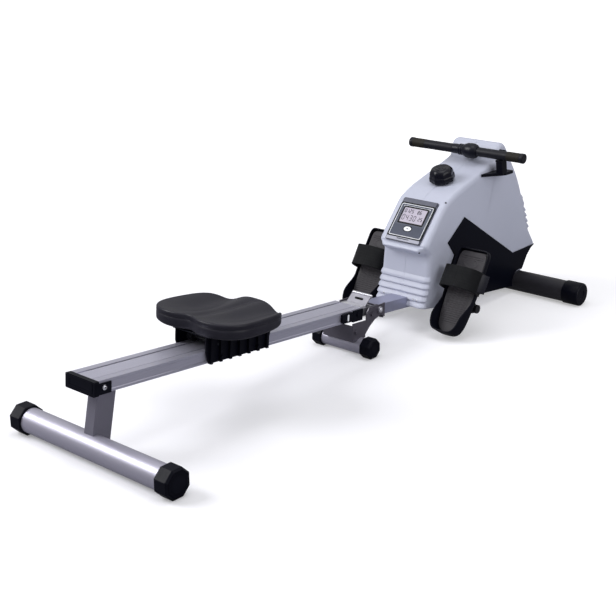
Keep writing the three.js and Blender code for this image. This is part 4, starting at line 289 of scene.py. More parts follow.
# the console's ABS and its printed lines: smooth, with a grain that only breaks the highlight
consoleAbs = dict(spec=0.3, patch=40, grain=0.7, depth=0.02)
printed = dict(patch=20, grain=0.6, depth=0.01)
finishes = {
    "silverPowderCoat": dict(powderCoat, tones=("#a3a1b0", "#a7a5b4"), rough=0.4, metal=0.55),
    # the rear post: the tubes' silver powder coat made darker, as painted shade of the post's faces
    "postPaintedShadeCoat": dict(powderCoat, tones=("#777582", "#7b7986")),
    "frameBlueGrey": dict(powderCoat, tones=("#9799b1", "#9d9fb7"), patch=200),
    "greyPowderCoat": dict(tones=("#4d4a54", "#57545e"), rough=0.4, metal=0.3, patch=90, grain=3,
                           depth=0.02, press=0.1, speck=0.02),
    "darkPowderCoat": dict(tones=("#28272c", "#302f34"), rough=0.42, spec=0.2, metal=0.1, patch=140, grain=4,
                           depth=0.02, press=0.1, speck=0.03),
    # anodised extrusion: drawing lines along its length, drawn 3 mm apart so that they show
    "anodisedAluminium": dict(powderCoat, tones=("#acacbc", "#b3b2c2"), rough=0.32, metal=0.6, patch=300, grain=3,
                              stretch=(0.01, 1, 1), depth=0.03, press=0.15, speck=0.05),
    "zincPlate": dict(zinc, tones=("#8b8a94", "#97969f"), rough=0.3, metal=0.7),
    "brightZinc": dict(zinc, tones=("#dcdce4", "#d0d0d8"), rough=0.2, metal=0.6),
    # turned steel: fine rings round the axle that draw the highlight out
    "turnedSteel": dict(tones=("#8d8f94", "#9c9ea3"), rough=0.3, metal=0.9, patch=30, grain=0.5,
                        stretch=(1, 0.1, 1), depth=0.02),
    # black oxide on steel: a dull near-black skin that keeps a faint metal edge
    "blackOxide": dict(tones=("#141418", "#1b1b20"), rough=0.42, metal=0.4, patch=20, grain=1.0, depth=0.02),
    "mouldedNylon": dict(nylon, tones=("#080913", "#0b0c16"), rough=0.4, spec=0.08, depth=0.06, press=0.3, speck=0.1),
    "knobNylon": dict(nylon, tones=("#070814", "#0a0b17"), rough=0.26, spec=0.24, depth=0.02, press=0.1),
    "coverPanelPlastic": dict(nylon, tones=("#080913", "#0a0c17"), rough=0.34, spec=0.05, patch=80,
                              depth=0.03, press=0.2),
    # moulded ABS with a fine texture: pale silver grey, almost no visible grain
    "paleAbs": dict(tones=("#b4b8c9", "#b9bccd"), rough=0.42, spec=0.35, patch=200, grain=2,
                    depth=0.01, press=0.1, speck=0.01),
    "consolePlastic": dict(consoleAbs, tones=("#3f4454", "#454a5a"), rough=0.34),
    "consoleLowerPlastic": dict(consoleAbs, tones=("#2c3347", "#32394d"), rough=0.34),
    "consoleRimPlastic": dict(consoleAbs, tones=("#4f515f", "#575967"), rough=0.36),
    "consoleFootPlastic": dict(consoleAbs, tones=("#9c9eac", "#a3a5b2"), rough=0.36, patch=30),
    "palePrint": dict(printed, tones=("#e6e8ee", "#dcdfe6"), rough=0.4),
    "darkPrint": dict(printed, tones=("#08090d", "#0c0d11"), rough=0.45, spec=0.15),
    # the window over the figures: glossy, with the grey of an unlit liquid-crystal display
    "displayGlass": dict(tones=("#b7afc0", "#aea8b8"), rough=0.16, patch=30, grain=1.0, depth=0.005,
                         coat=0.2, speck=0.02),
    "displaySegments": dict(printed, tones=("#24232e", "#2a2934"), rough=0.4, spec=0.2, patch=10, depth=0.005),
    "buttonPlastic": dict(printed, tones=("#eef0f4", "#e4e6ec"), rough=0.28, depth=0.02, coat=0.3),
    "boardLaminate": dict(tones=("#1d5c39", "#246a42"), rough=0.35, patch=12, grain=0.8, depth=0.03),
    # ribbed rubber: soft, dull and a little dusty on top
    "treadRubber": dict(tones=("#2c2a2f", "#363338"), rough=0.6, spec=0.3, patch=25, grain=1.5,
                        depth=0.08, press=0.3, speck=0.12, sheen=0.1),
    # closed-cell foam: fine cells drawn 1.6 mm across, near black, lit only at a low angle
    "gripFoam": dict(tones=("#101018", "#14141c"), rough=0.5, spec=0.2, grain=1.6,
                     depth=0.08, press=0.3, speck=0.08),
    "gripEndFoam": dict(tones=("#191712", "#201d18"), rough=0.62, spec=0.2, patch=18, grain=1.6,
                        depth=0.1, press=0.4, speck=0.12),
    "clampPlastic": dict(tones=("#090a16", "#0d0e1a"), rough=0.34, spec=0.2, patch=30, grain=0.8, depth=0.04),
    "rollerPlastic": dict(consoleAbs, tones=("#1c1d22", "#24252b"), rough=0.3, patch=20),
    "beltRubber": dict(tones=("#101012", "#17171a"), rough=0.6, spec=0.3, patch=15, grain=0.8, depth=0.08),
    "shadowGap": dict(tones=("#050507", "#08080b"), rough=0.8, spec=0.1, patch=20, grain=1.0, depth=0.02),
}
paints = {name: surface(name, look) for name, look in finishes.items()}


def vinylSkin(look):
    # moulded vinyl over foam: a leather grain of small cells, with wide soft highlights
    material, tree, coords, patch = startFinish("vinylSkin", look["patch"], 4.0)
    cells = addNode(tree, "ShaderNodeTexVoronoi", {"feature": "DISTANCE_TO_EDGE", "Scale": 1000 / look["cell"]},
                    {"Vector": coords})
    crease = addNode(tree, "ShaderNodeMapRange", {"From Max": look["crease"]}, {"Value": cells.outputs[0]})
    ramp = addNode(tree, "ShaderNodeMapRange", noiseRange, {"Value": patch})
    drift = {**noiseRange, "To Min": look["rough"][0], "To Max": look["rough"][1]}
    endFinish(tree, look, ramp.outputs[0], patch, drift, {"Specular IOR Level": look["spec"]}, crease.outputs[0])
    return material


def wovenWebbing(look):
    # polyester webbing: ridges of yarn across the band every few mm and a finer rib along it, so
    # that the light breaks up in rows. A wave texture of scale 1 has 20 ridges in 2 pi metres.
    material, tree, coords, patch = startFinish("wovenWebbing", look["patch"], 3.0)
    uv = addNode(tree, "ShaderNodeUVMap", {"uv_map": "weave"}).outputs[0]
    ridges = []
    for way, pitch, bend in (("X", look["yarn"], 0.3), ("Y", look["rib"], 0.2)):
        settings = {"bands_direction": way, "Scale": 1000 / pitch / 20 * 3.14, "Distortion": bend}
        ridges.append(addNode(tree, "ShaderNodeTexWave", settings, {"Vector": uv}).outputs[1])
    height = addNode(tree, "ShaderNodeMath", {"operation": "MULTIPLY_ADD", 1: 0.6}, {0: ridges[1], 2: ridges[0]})
    mix = addNode(tree, "ShaderNodeMapRange", {"From Max": 1.6}, {"Value": height.outputs[0]})
    drift = {"To Min": look["rough"][0], "To Max": look["rough"][1]}
    values = {"Specular IOR Level": look["spec"], "Sheen Weight": 0.08, "Sheen Roughness": 0.4}
    endFinish(tree, look, mix.outputs[0], patch, drift, values, height.outputs[0])
    return material


def clearPlastic(look):
    # clear drum plastic with a faint water tint; it is inside the closed housing
    material, tree, coords, patch = startFinish("clearDrumPlastic", look["patch"], 3.0)
    drift = {"To Min": look["rough"][0], "To Max": look["rough"][1]}
    endFinish(tree, look, patch, patch, drift, {"Transmission Weight": look["clear"], "IOR": look["ior"]})
    return material


paints["vinylSkin"] = vinylSkin(dict(tones=("#1c1b24", "#22212a"), rough=(0.33, 0.45), spec=0.18, cell=1.8,
                                     crease=0.25, patch=45, press=0.35, depth=0.12))
paints["wovenWebbing"] = wovenWebbing(dict(tones=("#050609", "#0d0e12"), rough=(0.62, 0.78), spec=0.15, yarn=2.4,
                                           rib=3.2, patch=20, press=0.5, depth=0.3))
paints["clearDrumPlastic"] = clearPlastic(dict(tones=("#c3d6e0", "#b2c9d6"), rough=(0.06, 0.16), patch=50,
                                               clear=0.7, ior=1.46))


def leftRight(*names):
    return [f"{name}_{side}" for name in names for side, sign in bothSides]


nodeFinish = {
    "silverPowderCoat": ["rear_stabiliser_tube", "middle_stabiliser_tube"],
    "postPaintedShadeCoat": ["rear_post"],
    "frameBlueGrey": ["main_frame_tube"],
    "greyPowderCoat": ["middle_bracket", "drum_support"],
    "darkPowderCoat": ["front_stabiliser_tube", "handlebar_tube"],
    "anodisedAluminium": ["rail"],
    "zincPlate": ["rail_hinge_bracket", "fold_pivot_bolt"],
    "blackOxide": ["pedal_axle"],
    "turnedSteel": ["flywheel", "brake_yoke", "one_way_bearing", "recoil_spring"],
    "mouldedNylon": ["rail_end_cap", "rail_front_collar", "handle_hook", "strap_spool", "brake_cable", "seat_carriage",
                     "resistance_knob", *leftRight("rear_cap", "middle_cap", "front_wheel", "rail_bumper", "footplate")],
    "coverPanelPlastic": ["impeller", *leftRight("lower_cover")],
    "paleAbs": leftRight("housing_shell"),
    "consoleRimPlastic": ["console_bezel"],
    "displayGlass": ["console_screen"],
    "buttonPlastic": ["console_button"],
    "boardLaminate": ["circuit_board"],
    "treadRubber": leftRight("tread"),
    "gripFoam": leftRight("grip"),
    "clampPlastic": ["handle_clamp"],
    "rollerPlastic": ["strap_roller", "drive_pulley", "seat_rollers_rear", "seat_rollers_front"],
    "beltRubber": ["drive_belt"],
    "clearDrumPlastic": leftRight("water_drum"),
    "wovenWebbing": ["pull_strap", "strap_inner_run", *leftRight("foot_strap")],
    "vinylSkin": ["seat_cushion"],
}
for finish, names in nodeFinish.items():
    for name in names:
        nodes[name].data.materials.clear()
        nodes[name].data.materials.append(paints[finish])
print("finishes made:", len(paints))


# feet, end caps and transport rollers

feet = {
    "rear": {"radius": 32, "x": 0, "z": 36.5, "body": "rail_body", "node": "rear_stabiliser_tube",
             "finish": "silverPowderCoat"},
    "middle": {"radius": 24, "x": 935, "z": 28.5, "body": "frame", "node": "middle_stabiliser_tube",
               "finish": "silverPowderCoat"},
    "front": {"radius": 34, "x": 1726, "z": 37, "body": "frame", "node": "front_stabiliser_tube",
              "finish": "darkPowderCoat"},
}
footTube = {"wall": 2, "edge": 0.8, "bands": 24, "sides": 96}
for prefix, foot in feet.items():
    # a tube turned round Y: its profile goes out over a small edge, along the tube and back in
    low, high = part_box(foot["node"])
    half = (high[1] - low[1]) * 500
    r, bore, edge = foot["radius"], foot["radius"] - footTube["wall"], footTube["edge"]
    long = np.linspace(-half + edge, half - edge, footTube["bands"])
    profile = [(bore, -half), (r - edge, -half), *((r, y) for y in long), (r - edge, half), (bore, half), (bore, -half)]
    centre = np.array([foot["x"], (low[1] + high[1]) * 500, foot["z"]])
    tube = gridPiece(prefix + "FootTube", turned(profile, footTube["sides"]) + centre, foot["body"], foot["finish"])
    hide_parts(foot["node"])

capRings = {"inset": [6, 13], "height": 1.2, "sunk": 0.3, "base": 0.9, "width": 2.2, "slant": 0.4}


def octagonRing(flatRadius, width, height):
    # a flat ring between two octagons, as (radius, along) corners carried round eight sides
    outer, inner, slant = flatRadius, flatRadius - width, capRings["slant"]
    profile = [(outer, 0), (outer - slant, height), (inner + slant, height), (inner, 0), (outer, 0)]
    points = turned([(r / math.cos(math.pi / 8), y) for r, y in profile], 8)
    return turnedAboutY(points, (0, 0, 0), math.pi / 8)


for foot, flat, body in (("rear", 36.5, "rail_body"), ("middle", 28.5, "frame")):
    for side, sign in bothSides:
        node = f"{foot}_cap_{side}"
        low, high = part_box(node)
        end = (high[1] if sign > 0 else low[1]) * 1000
        for k, inset in enumerate(capRings["inset"]):
            ring = octagonRing(flat - inset, capRings["width"], capRings["height"] - capRings["sunk"])
            ring[..., 1] = end - sign * capRings["base"] + sign * ring[..., 1]
            ring[..., 0] += (low[0] + high[0]) * 500 + rearFootX
            ring[..., 2] += flat
            gridPiece(f"{node}Ring{k}", ring, body, "mouldedNylon", flat=True)

# each roller's profile: (radius, distance from its inner face), then (radius, from its outer face)
roller = {
    "inner": [(34.8, 0), (36, 0), (37, 1.5)],
    "outer": [(37, 6), (36, 2.5), (33, 0.3), (31, 0), (14, 0.4), (12.5, 2), (0, 2), (0, 7), (34.8, 7)],
    "sides": 72,
}
for side, sign in bothSides:
    low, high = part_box(f"front_wheel_{side}")
    inner, outer = (low[1] * 1000, high[1] * 1000) if sign > 0 else (high[1] * 1000, low[1] * 1000)
    profile = [(r, inner + d * sign) for r, d in roller["inner"]] + [(r, outer - d * sign) for r, d in roller["outer"]]
    points = turned(profile + profile[:1], roller["sides"]) + np.array([feet["front"]["x"], 0, feet["front"]["z"]])
    wheel = gridPiece(f"frontRoller{side.capitalize()}", points, f"wheel_{side}", "mouldedNylon")
    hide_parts(f"front_wheel_{side}")

# the bottom of each track groove is in deep shade
groove = {"y": 27.5, "z": -2.45, "width": 3, "from": 24, "to": 930, "levels": [(-0.05, 0), (0.15, 0)]}
for side, sign in bothSides:
    shade = plateStack(roundedSection(groove["to"] - groove["from"], groove["width"], 0.5, 2), groove["levels"])
    shade += np.array([(groove["from"] + groove["to"]) / 2, groove["y"] * sign, groove["z"]])
    gridPiece(f"railGroove{side.capitalize()}", onRail(shade), "rail_body", "shadowGap")

# the end cap's face has a raised frame: length, width and corner of its outside and of its opening
endCap = {"outside": (88, 29, 5), "opening": (76, 18, 3), "face": -18.6, "front": -20, "z": -17.5}
outer, inner = (roundedSection(*endCap[part], 5) for part in ("outside", "opening"))
rows = [(outer, endCap["face"]), (outer, endCap["front"]), (inner, endCap["front"]), (inner, endCap["face"])]
frameRows = np.array([np.column_stack([np.full(len(o), x), o[:, 0], o[:, 1] + endCap["z"]]) for o, x in rows])
gridPiece("endCapFrame", onRail(frameRows), "rail_body", "mouldedNylon", loopRows=True)

# the hinge sheet has a bright bar across its crest, a bright plate and a slot in its slope. Plate
# and slot are flat plates: length, width and corner of the outline, then (height, inset) levels.
ramp = {
    "bar": [(0, -35), (3.6, -35), (4.6, -34), (4.6, 34), (3.6, 35), (0, 35)], "barAt": (1013.5, 0, 18.2),
    "plate": (31, 66, 2), "plateLevels": [(-5.9, 0), (-4.9, 0), (-4.6, 0.3)], "plateAt": (968, 0, 0),
    "slot": (7, 30, 3.4), "slotLevels": [(-0.3, 0), (0.25, 0), (0.35, 0.1)], "slotAt": (998, 0, 8.2), "slope": 45,
}
crest = turned(ramp["bar"], 24) + np.array(ramp["barAt"])
sheet = plateStack(roundedSection(*ramp["plate"], 4), ramp["plateLevels"]) + np.array(ramp["plateAt"])
slot = turnedAboutY(plateStack(roundedSection(*ramp["slot"], 5), ramp["slotLevels"]), ramp["slotAt"],
                    -math.radians(ramp["slope"]))
for name, points, finish in (("rampBar", crest, "brightZinc"), ("rampPlate", sheet, "brightZinc"),
                             ("rampSlot", slot, "shadowGap")):
    gridPiece(name, onRail(points), "rail_body", finish)

# a pale oval on the outer face of each bumper: a rounded plate whose outline is along x and z
oval = {"length": 7, "thick": 0.8, "height": 19, "corner": 3.4, "edge": 0.3, "forward": 2}
for side, sign in bothSides:
    low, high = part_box(f"rail_bumper_{side}")
    x = (low[0] + high[0]) * 500 + rearFootX
    z = (low[2] + high[2]) * 500 - railTopAtRear
    alongX = x * math.cos(railSlope) - z * math.sin(railSlope)
    alongZ = x * math.sin(railSlope) + z * math.cos(railSlope)
    face = (high[1] if sign > 0 else low[1]) * 1000
    half, edge = oval["thick"] / 2, oval["edge"]
    rows = plateStack(roundedSection(oval["length"], oval["height"], oval["corner"], 5),
                      [(-half, edge), (-half + edge, 0), (half - edge, 0), (half, edge)])
    points = np.stack([rows[..., 0] + (alongX + oval["forward"]), rows[..., 2] + face, rows[..., 1] + alongZ], axis=-1)
    gridPiece(f"bumperOval{side.capitalize()}", onRail(points), "rail_body", "palePrint")
print("feet done")


# bolts: place on the left side, radius and body
bolts = {"endCapBolt": ((9, 52.6, 196), 4.6, "rail_body"), "pivotBolt": ((1020, 61.6, 115), 5.5, "frame")}
# a domed head on a washer with a round socket: (radius over the head's, height over the head's)
boltProfile = [(1.35, 0.2), (1.02, 0.25), (1, 0.55), (0.86, 0.85), (0.62, 1), (0.45, 1), (0.405, 0.5), (0, 0.5)]
boltHeight, boltSunk = 3.0, 0.4
for name, ((x, y, z), radius, body) in bolts.items():
    for side, sign in reversed(bothSides):
        profile = [(0, -boltSunk), (radius * boltProfile[0][0], -boltSunk)]
        profile += [(radius * r, boltHeight * h) for r, h in boltProfile]
        points = turned([(r, h * sign) for r, h in profile], 28) + np.array([x, y * sign, z])
        gridPiece(f"{name}{side.capitalize()}", points, body, "brightZinc")
print("bolts done")


# housing

housing = {
    "halfWidth": 88, "round": 15, "edgeShare": 0.75, "seam": 0.3, "lip": 1.2, "step": 2.0,
    # the side outline as (x, z, how far the side face is drawn in), and how round each corner is
    "profile": [
        (1190, 75, 20), (1198, 104, 20), (1214, 154, 20), (1222, 234, 14), (1198.1, 263.6, 20), (1295.9, 375, 20),
        (1345, 399, 20), (1548, 458, 18), (1566, 466, 12), (1574, 500, 14), (1584, 513, 18), (1606, 514, 18),
        (1624, 495, 20), (1650, 458, 20), (1684, 414, 20), (1711, 369, 20), (1741, 304, 20), (1783, 202, 18),
        (1817, 158, 10), (1821, 143, 2), (1796, 132, 2), (1773, 111, 2), (1752, 78, 2), (1700, 22, 2), (1531, 42, 2),
        (1240, 66, 2),
    ],
    "soft": [5, 8, 10, 9, 10, 16, 24, 8, 8, 8, 10, 10, 14, 30, 30, 30, 30, 18, 6, 2, 3, 3, 3, 2, 3, 2],
    "straight": (1.6, 20, 40, 55, 64), "turnSteps": 10, "closing": (0.985, 0.9, 0.6, 0.3, 0.0), "middle": (1500, 225.0),
    "rearBefore": 1232, "frontAfter": 1640, "ribFade": (1.1, 1.5),
    "neckRibs": {"top": 168, "pitch": 18.6, "count": 5, "height": 6},
    "frontRibs": {"top": 326, "pitch": 20, "count": 6, "height": 6},
    "lipRoll": {"z": 249, "reach": 20, "width": 11, "below": 261, "fade": (66, 80)},
    # each screw: its shell, where its ray starts, the ray's way, the head's radius and its finish
    "screws": [
        ("right", (1306, -79, 460), (0, 0, -1), 3.0, "darkPrint"),
        ("right", (1150, -66, 246), (1, 0, 0), 3.0, "darkPrint"),
        ("left", (1150, 66, 246), (1, 0, 0), 3.0, "darkPrint"),
        ("right", (1150, -52, 99), (1, 0, 0), 3.2, "brightZinc"),
        ("right", (1150, -64, 99), (1, 0, 0), 3.2, "brightZinc"),
        ("left", (1150, 58, 99), (1, 0, 0), 3.2, "brightZinc"),
    ],
}


def ribWave(z, ribs, swelling=0.76, falling=0.24):
    # each rib swells slowly downwards and drops back at its foot, like a stack of shingles
    t = (ribs["top"] - z) / ribs["pitch"]
    inside = (t > 0) & (t < ribs["count"])
    phase = t - np.floor(t)
    rise = np.sin(phase / swelling * np.pi / 2)
    fall = np.cos((phase - swelling) / falling * np.pi / 2)
    return np.where(inside, ribs["height"] * np.clip(np.where(phase < swelling, rise, fall), 0, 1), 0)


def drawnIn(points, distance, shortest=0.8):
    # each edge of a clockwise outline moves inwards by its own distance and meets its neighbours
    # again; an edge that would turn round shrinks to a short one at its middle
    along = np.roll(points, -1, axis=0) - points
    length = np.linalg.norm(along, axis=1)
    inward = np.column_stack([along[:, 1], -along[:, 0]]) / length[:, None]
    before, last = np.roll(inward, 1, axis=0), np.roll(distance, 1)
    cross = before[:, 0] * inward[:, 1] - before[:, 1] * inward[:, 0]
    straight = np.abs(cross) < 0.1
    safe = np.where(straight, 1, cross)
    x = points[:, 0] + (last * inward[:, 1] - distance * before[:, 1]) / safe
    z = points[:, 1] + (distance * before[:, 0] - last * inward[:, 0]) / safe
    plain = points + (before + inward) / 2 * ((last + distance) / 2)[:, None]
    moved = np.where(straight[:, None], plain, np.column_stack([x, z]))
    for _ in range(4):
        for i in range(len(points)):
            j = (i + 1) % len(points)
            way = along[i] / length[i]
            if np.dot(moved[j] - moved[i], way) < shortest:
                middle = (moved[i] + moved[j]) / 2
                moved[i], moved[j] = middle - way * (shortest / 2), middle + way * (shortest / 2)
    return moved


def softOutline(corners, reach, counts):
    # rounded corners of six points each, with a fixed number of points on every edge between
    soft = softCorners(corners, reach, 6).reshape(len(corners), 6, 2)
    parts = []
    for i, count in enumerate(counts):
        start, end = soft[i, -1], soft[(i + 1) % len(corners), 0]
        t = np.linspace(0, 1, count + 2)[1:-1, None]
        parts += [soft[i], start + (end - start) * t]
    return np.vstack(parts)


def housingHalf(side):
    # the side outline, drawn in step by step round the edge (a quarter circle) to the side face.
    # Ribs push the rear and front faces outwards, turn with the edge and fade at the side face.
    # The lip pushes the rear face out along X alone.
    h, lip = housing, housing["lipRoll"]
    table = np.array(h["profile"], dtype=float)
    corners, edge = table[:, :2], table[:, 2] * h["edgeShare"]
    spans = np.linalg.norm(np.roll(corners, -1, axis=0) - corners, axis=1)
    counts = np.maximum(1, (spans / h["step"]).astype(int))
    rows = [(h["seam"], h["lip"] + 0 * edge, 0)]
    rows += [(y, 0 * edge, 0) for y in (h["seam"], *h["straight"])]
    for a in np.linspace(0, np.pi / 2, h["turnSteps"]):
        rows.append((h["halfWidth"] - h["round"] + h["round"] * math.sin(a), edge * (1 - math.cos(a)), a))
    points = []
    for y, distance, turn in rows:
        x, z = softOutline(drawnIn(corners, distance), h["soft"], counts).T
        rear, front = x < h["rearBefore"], x > h["frontAfter"]
        roll = lip["reach"] * np.exp(-((z - lip["z"]) / lip["width"]) ** 2) * (z < lip["below"])
        fade = 1 - smooth(*h["ribFade"], turn)
        push = np.where(rear, ribWave(z, h["neckRibs"]), 0) * fade
        swell = np.where(front, ribWave(z, h["frontRibs"]), 0) * fade
        lipPush = np.where(rear, roll, 0) * (1 - smooth(*lip["fade"], y))
        outwards = y + (push + swell) * math.sin(turn)
        points.append(np.column_stack([x + (swell - push) * math.cos(turn) - lipPush, outwards * side, z]))
    last = points[-1]
    middle = np.array([h["middle"][0], h["halfWidth"] * side, h["middle"][1]])
    return np.array(points + [middle + (last - middle) * share for share in h["closing"]])


shells = {}
for side, sign in bothSides:
    shell = gridPiece(f"housingShell{side.capitalize()}", housingHalf(sign), "frame", "paleAbs", sharp=35)
    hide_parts(f"housing_shell_{side}")
    shells[side] = shell


def screwOn(name, shell, start, way, r, finish):
    # a small head that stands on the shell where a ray from start meets it, square to the surface
    tree = BVHTree.FromPolygons([v.co for v in shell.data.vertices], [p.vertices for p in shell.data.polygons])
    place, normal = tree.ray_cast(Vector(toFrame(start)), Vector(way))[:2]
    profile = [(0, -0.6), (r, -0.6), (r, 0.5), (r * 0.8, 1.1), (r * 0.5, 1.3), (r * 0.42, 0.4), (0, 0.4)]
    turnTo = np.array(Vector((0, 1, 0)).rotation_difference(normal).to_matrix())
    points = turned(profile, 20) @ turnTo.T + np.array(place) * 1000 + np.array([rearFootX, 0, 0])
    return gridPiece(name, points, "frame", finish)


for k, (side, *screw) in enumerate(housing["screws"]):
    screwOn(f"housingScrew{k}", shells[side], *screw)
print("housing done")


# console

console = {
    "x": 1246, "z": 322, "turn": 48.7,
    # outlines: length, width, middle along the length and corner; then low, high and finish
    "holed": {
        "consoleFace": (104, 112, -2, 5, 2.2, 2.8, "consolePlastic"),
        "consoleLowerFace": (34, 108, -35, 8, 2.6, 2.9, "consoleLowerPlastic"),
    },
    # the same, with how broad the frame is as the last number
    "frames": {
        "consoleFaceWhiteLine": (108, 115, -2, 6, 2.2, 3.0, "palePrint", 1.7),
        "consoleFaceDarkLine": (117, 124.5, -2, 7, 2.2, 2.95, "darkPrint", 4.4),
        "displayFrame": (59, 92, 15, 3, 2.7, 3.5, "darkPrint", 5),
        "buttonRing": (19, 31, -29, 9, 2.7, 3.2, "darkPrint", 1.6),
    },
    "plates": {
        "consoleTopBand": (15, 121, 63, 4, 2.3, 2.9, "consoleRimPlastic", "frame"),
        "consoleStripe": (4.5, 96, 43.5, 2, 2.7, 3.05, "palePrint", "frame"),
        "consoleFootBand": (11, 120, -65.5, 3, 2.3, 2.9, "consoleFootPlastic", "frame"),
        "consoleFootMark": (2.6, 44, -64, 1, 2.8, 3.0, "darkPrint", "frame"),
        "displayWindow": (50, 83, 15, 1, 2.6, 3.1, "displayGlass", "frame"),
        "buttonMark": (2.6, 8, -29, 1.2, 2.9, 3.2, "consoleLowerPlastic", "button"),
    },
    "holeX": -29, "holeShorter": 11.4, "holePlay": 0.6, "plateEdge": 0.2, "smallestCorner": 0.6,
}


def onConsole(points):
    return turnedAboutY(points, (console["x"], 0, console["z"]), -math.radians(console["turn"]))


def outlineAt(length, width, centre, corner):
    return roundedSection(length, width, corner, 5) + np.array([centre, 0])


def flatRing(name, outer, inner, low, high, finish):
    # a flat ring between two outlines of as many points, lying between two heights
    points = np.array([lifted(o, z) for o, z in ((outer, low), (outer, high), (inner, high), (inner, low))])
    return gridPiece(name, onConsole(points), "frame", finish, loopRows=True, flat=True)


# the face plates have an oval hole that the button sinks into
buttonLow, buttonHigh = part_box("console_button")
buttonWide = (buttonHigh[1] - buttonLow[1]) * 1000
holeLength = buttonWide - console["holeShorter"]
hole = outlineAt(holeLength, buttonWide + console["holePlay"], console["holeX"], holeLength / 2 - 0.1)
for name, (length, width, centre, corner, *rest) in console["holed"].items():
    flatRing(name, outlineAt(length, width, centre, corner), hole, *rest)
for name, (length, width, centre, corner, low, high, finish, band) in console["frames"].items():
    inner = outlineAt(length - 2 * band, width - 2 * band, centre, max(corner - band, console["smallestCorner"]))
    flatRing(name, outlineAt(length, width, centre, corner), inner, low, high, finish)
for name, (length, width, centre, corner, low, high, finish, body) in console["plates"].items():
    # a flat plate: its outline from low to high with a small bevel on top
    edge = console["plateEdge"]
    points = plateStack(roundedSection(length, width, corner, 5), [(low, 0), (high - edge, 0), (high, edge)])
    points[..., 0] += centre
    gridPiece(name, onConsole(points), body, finish, flat=True)
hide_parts("console_screen")

figures = {
    # each number: its figures, place of the first one's middle, half its height and the step
    "numbers": [("0125", 29, 34, 5.5, 8.6), ("0430", 7, 33, 8.5, 13.5), ("86", 29, -12, 5.5, 8.6),
                ("25", 7, -24, 5.5, 8.6)],
    # which of the seven bars a figure lights, and where each bar is: (up, side, is it upright)
    "lit": {"0": "abcdef", "1": "bc", "2": "abged", "3": "abgcd", "4": "fgbc", "5": "afgcd", "6": "afgedc",
            "8": "abcdefg"},
    "bars": {"a": (1, 0, 0), "g": (0, 0, 0), "d": (-1, 0, 0), "f": (0.5, 1, 1), "b": (0.5, -1, 1),
             "e": (-0.5, 1, 1), "c": (-0.5, -1, 1)},
    "narrow": 0.42, "flatBar": 0.34, "stroke": 1.0, "low": 2.9, "high": 3.22,
}


def displaySegments():
    # thin bars of seven-bar figures: which bars are lit is a table, and each bar is a small box
    f = figures
    boxes = []
    for text, top, left, tall, pitch in f["numbers"]:
        for k, figure in enumerate(text):
            middle = left - k * pitch
            for bar in f["lit"][figure]:
                up, side, upright = f["bars"][bar]
                x, y = top + up * tall, middle + side * tall * f["narrow"]
                halfX, halfY = (tall * f["narrow"], f["stroke"]) if upright else (f["stroke"], tall * f["flatBar"])
                boxes.append((x - halfX, y - halfY, x + halfX, y + halfY))
    b = np.array(boxes)
    x = b[:, [0, 2, 2, 0, 0, 2, 2, 0]]
    y = b[:, [1, 1, 3, 3, 1, 1, 3, 3]]
    z = np.broadcast_to([f["low"]] * 4 + [f["high"]] * 4, x.shape)
    sides = np.array([(3, 2, 1, 0), (4, 5, 6, 7), (0, 1, 5, 4), (1, 2, 6, 5), (2, 3, 7, 6), (3, 0, 4, 7)])
    faces = (sides[None] + 8 * np.arange(len(b))[:, None, None]).reshape(-1, 4)
    points = toFrame(onConsole(np.stack([x, y, z], axis=-1).reshape(-1, 3)))
    finishMesh("displayFigures", points, faces, "frame", "displaySegments", flat=True)


displaySegments()
print("console done")


# seat

seat = {
    "x": 432, "halfLength": 132, "halfWidth": 154, "rim": 85, "low": 43.3, "squareness": 3.3, "frontShare": 0.84,
    "dish": 19, "valley": 9, "valleyWidth": 15, "lobeY": 68, "lobeWidth": 52, "lobeLength": 95,
    "dipDepth": 18, "dipY": 85, "dipWidth": 35, "dipLength": 75, "notch": 19, "notchAngle": 0.3,
    "lowRound": 10.5, "lowShare": 0.9, "topRound": 6, "topShare": 0.036, "rings": 26, "spokes": 168,
    # a shallow welt line two thirds up the wall: (share of the outline, drop below the rim)
    "welt": ((1.0, 22), (1.0, 15.2), (0.994, 14.4), (0.994, 13.6), (1.0, 12.8)),
}


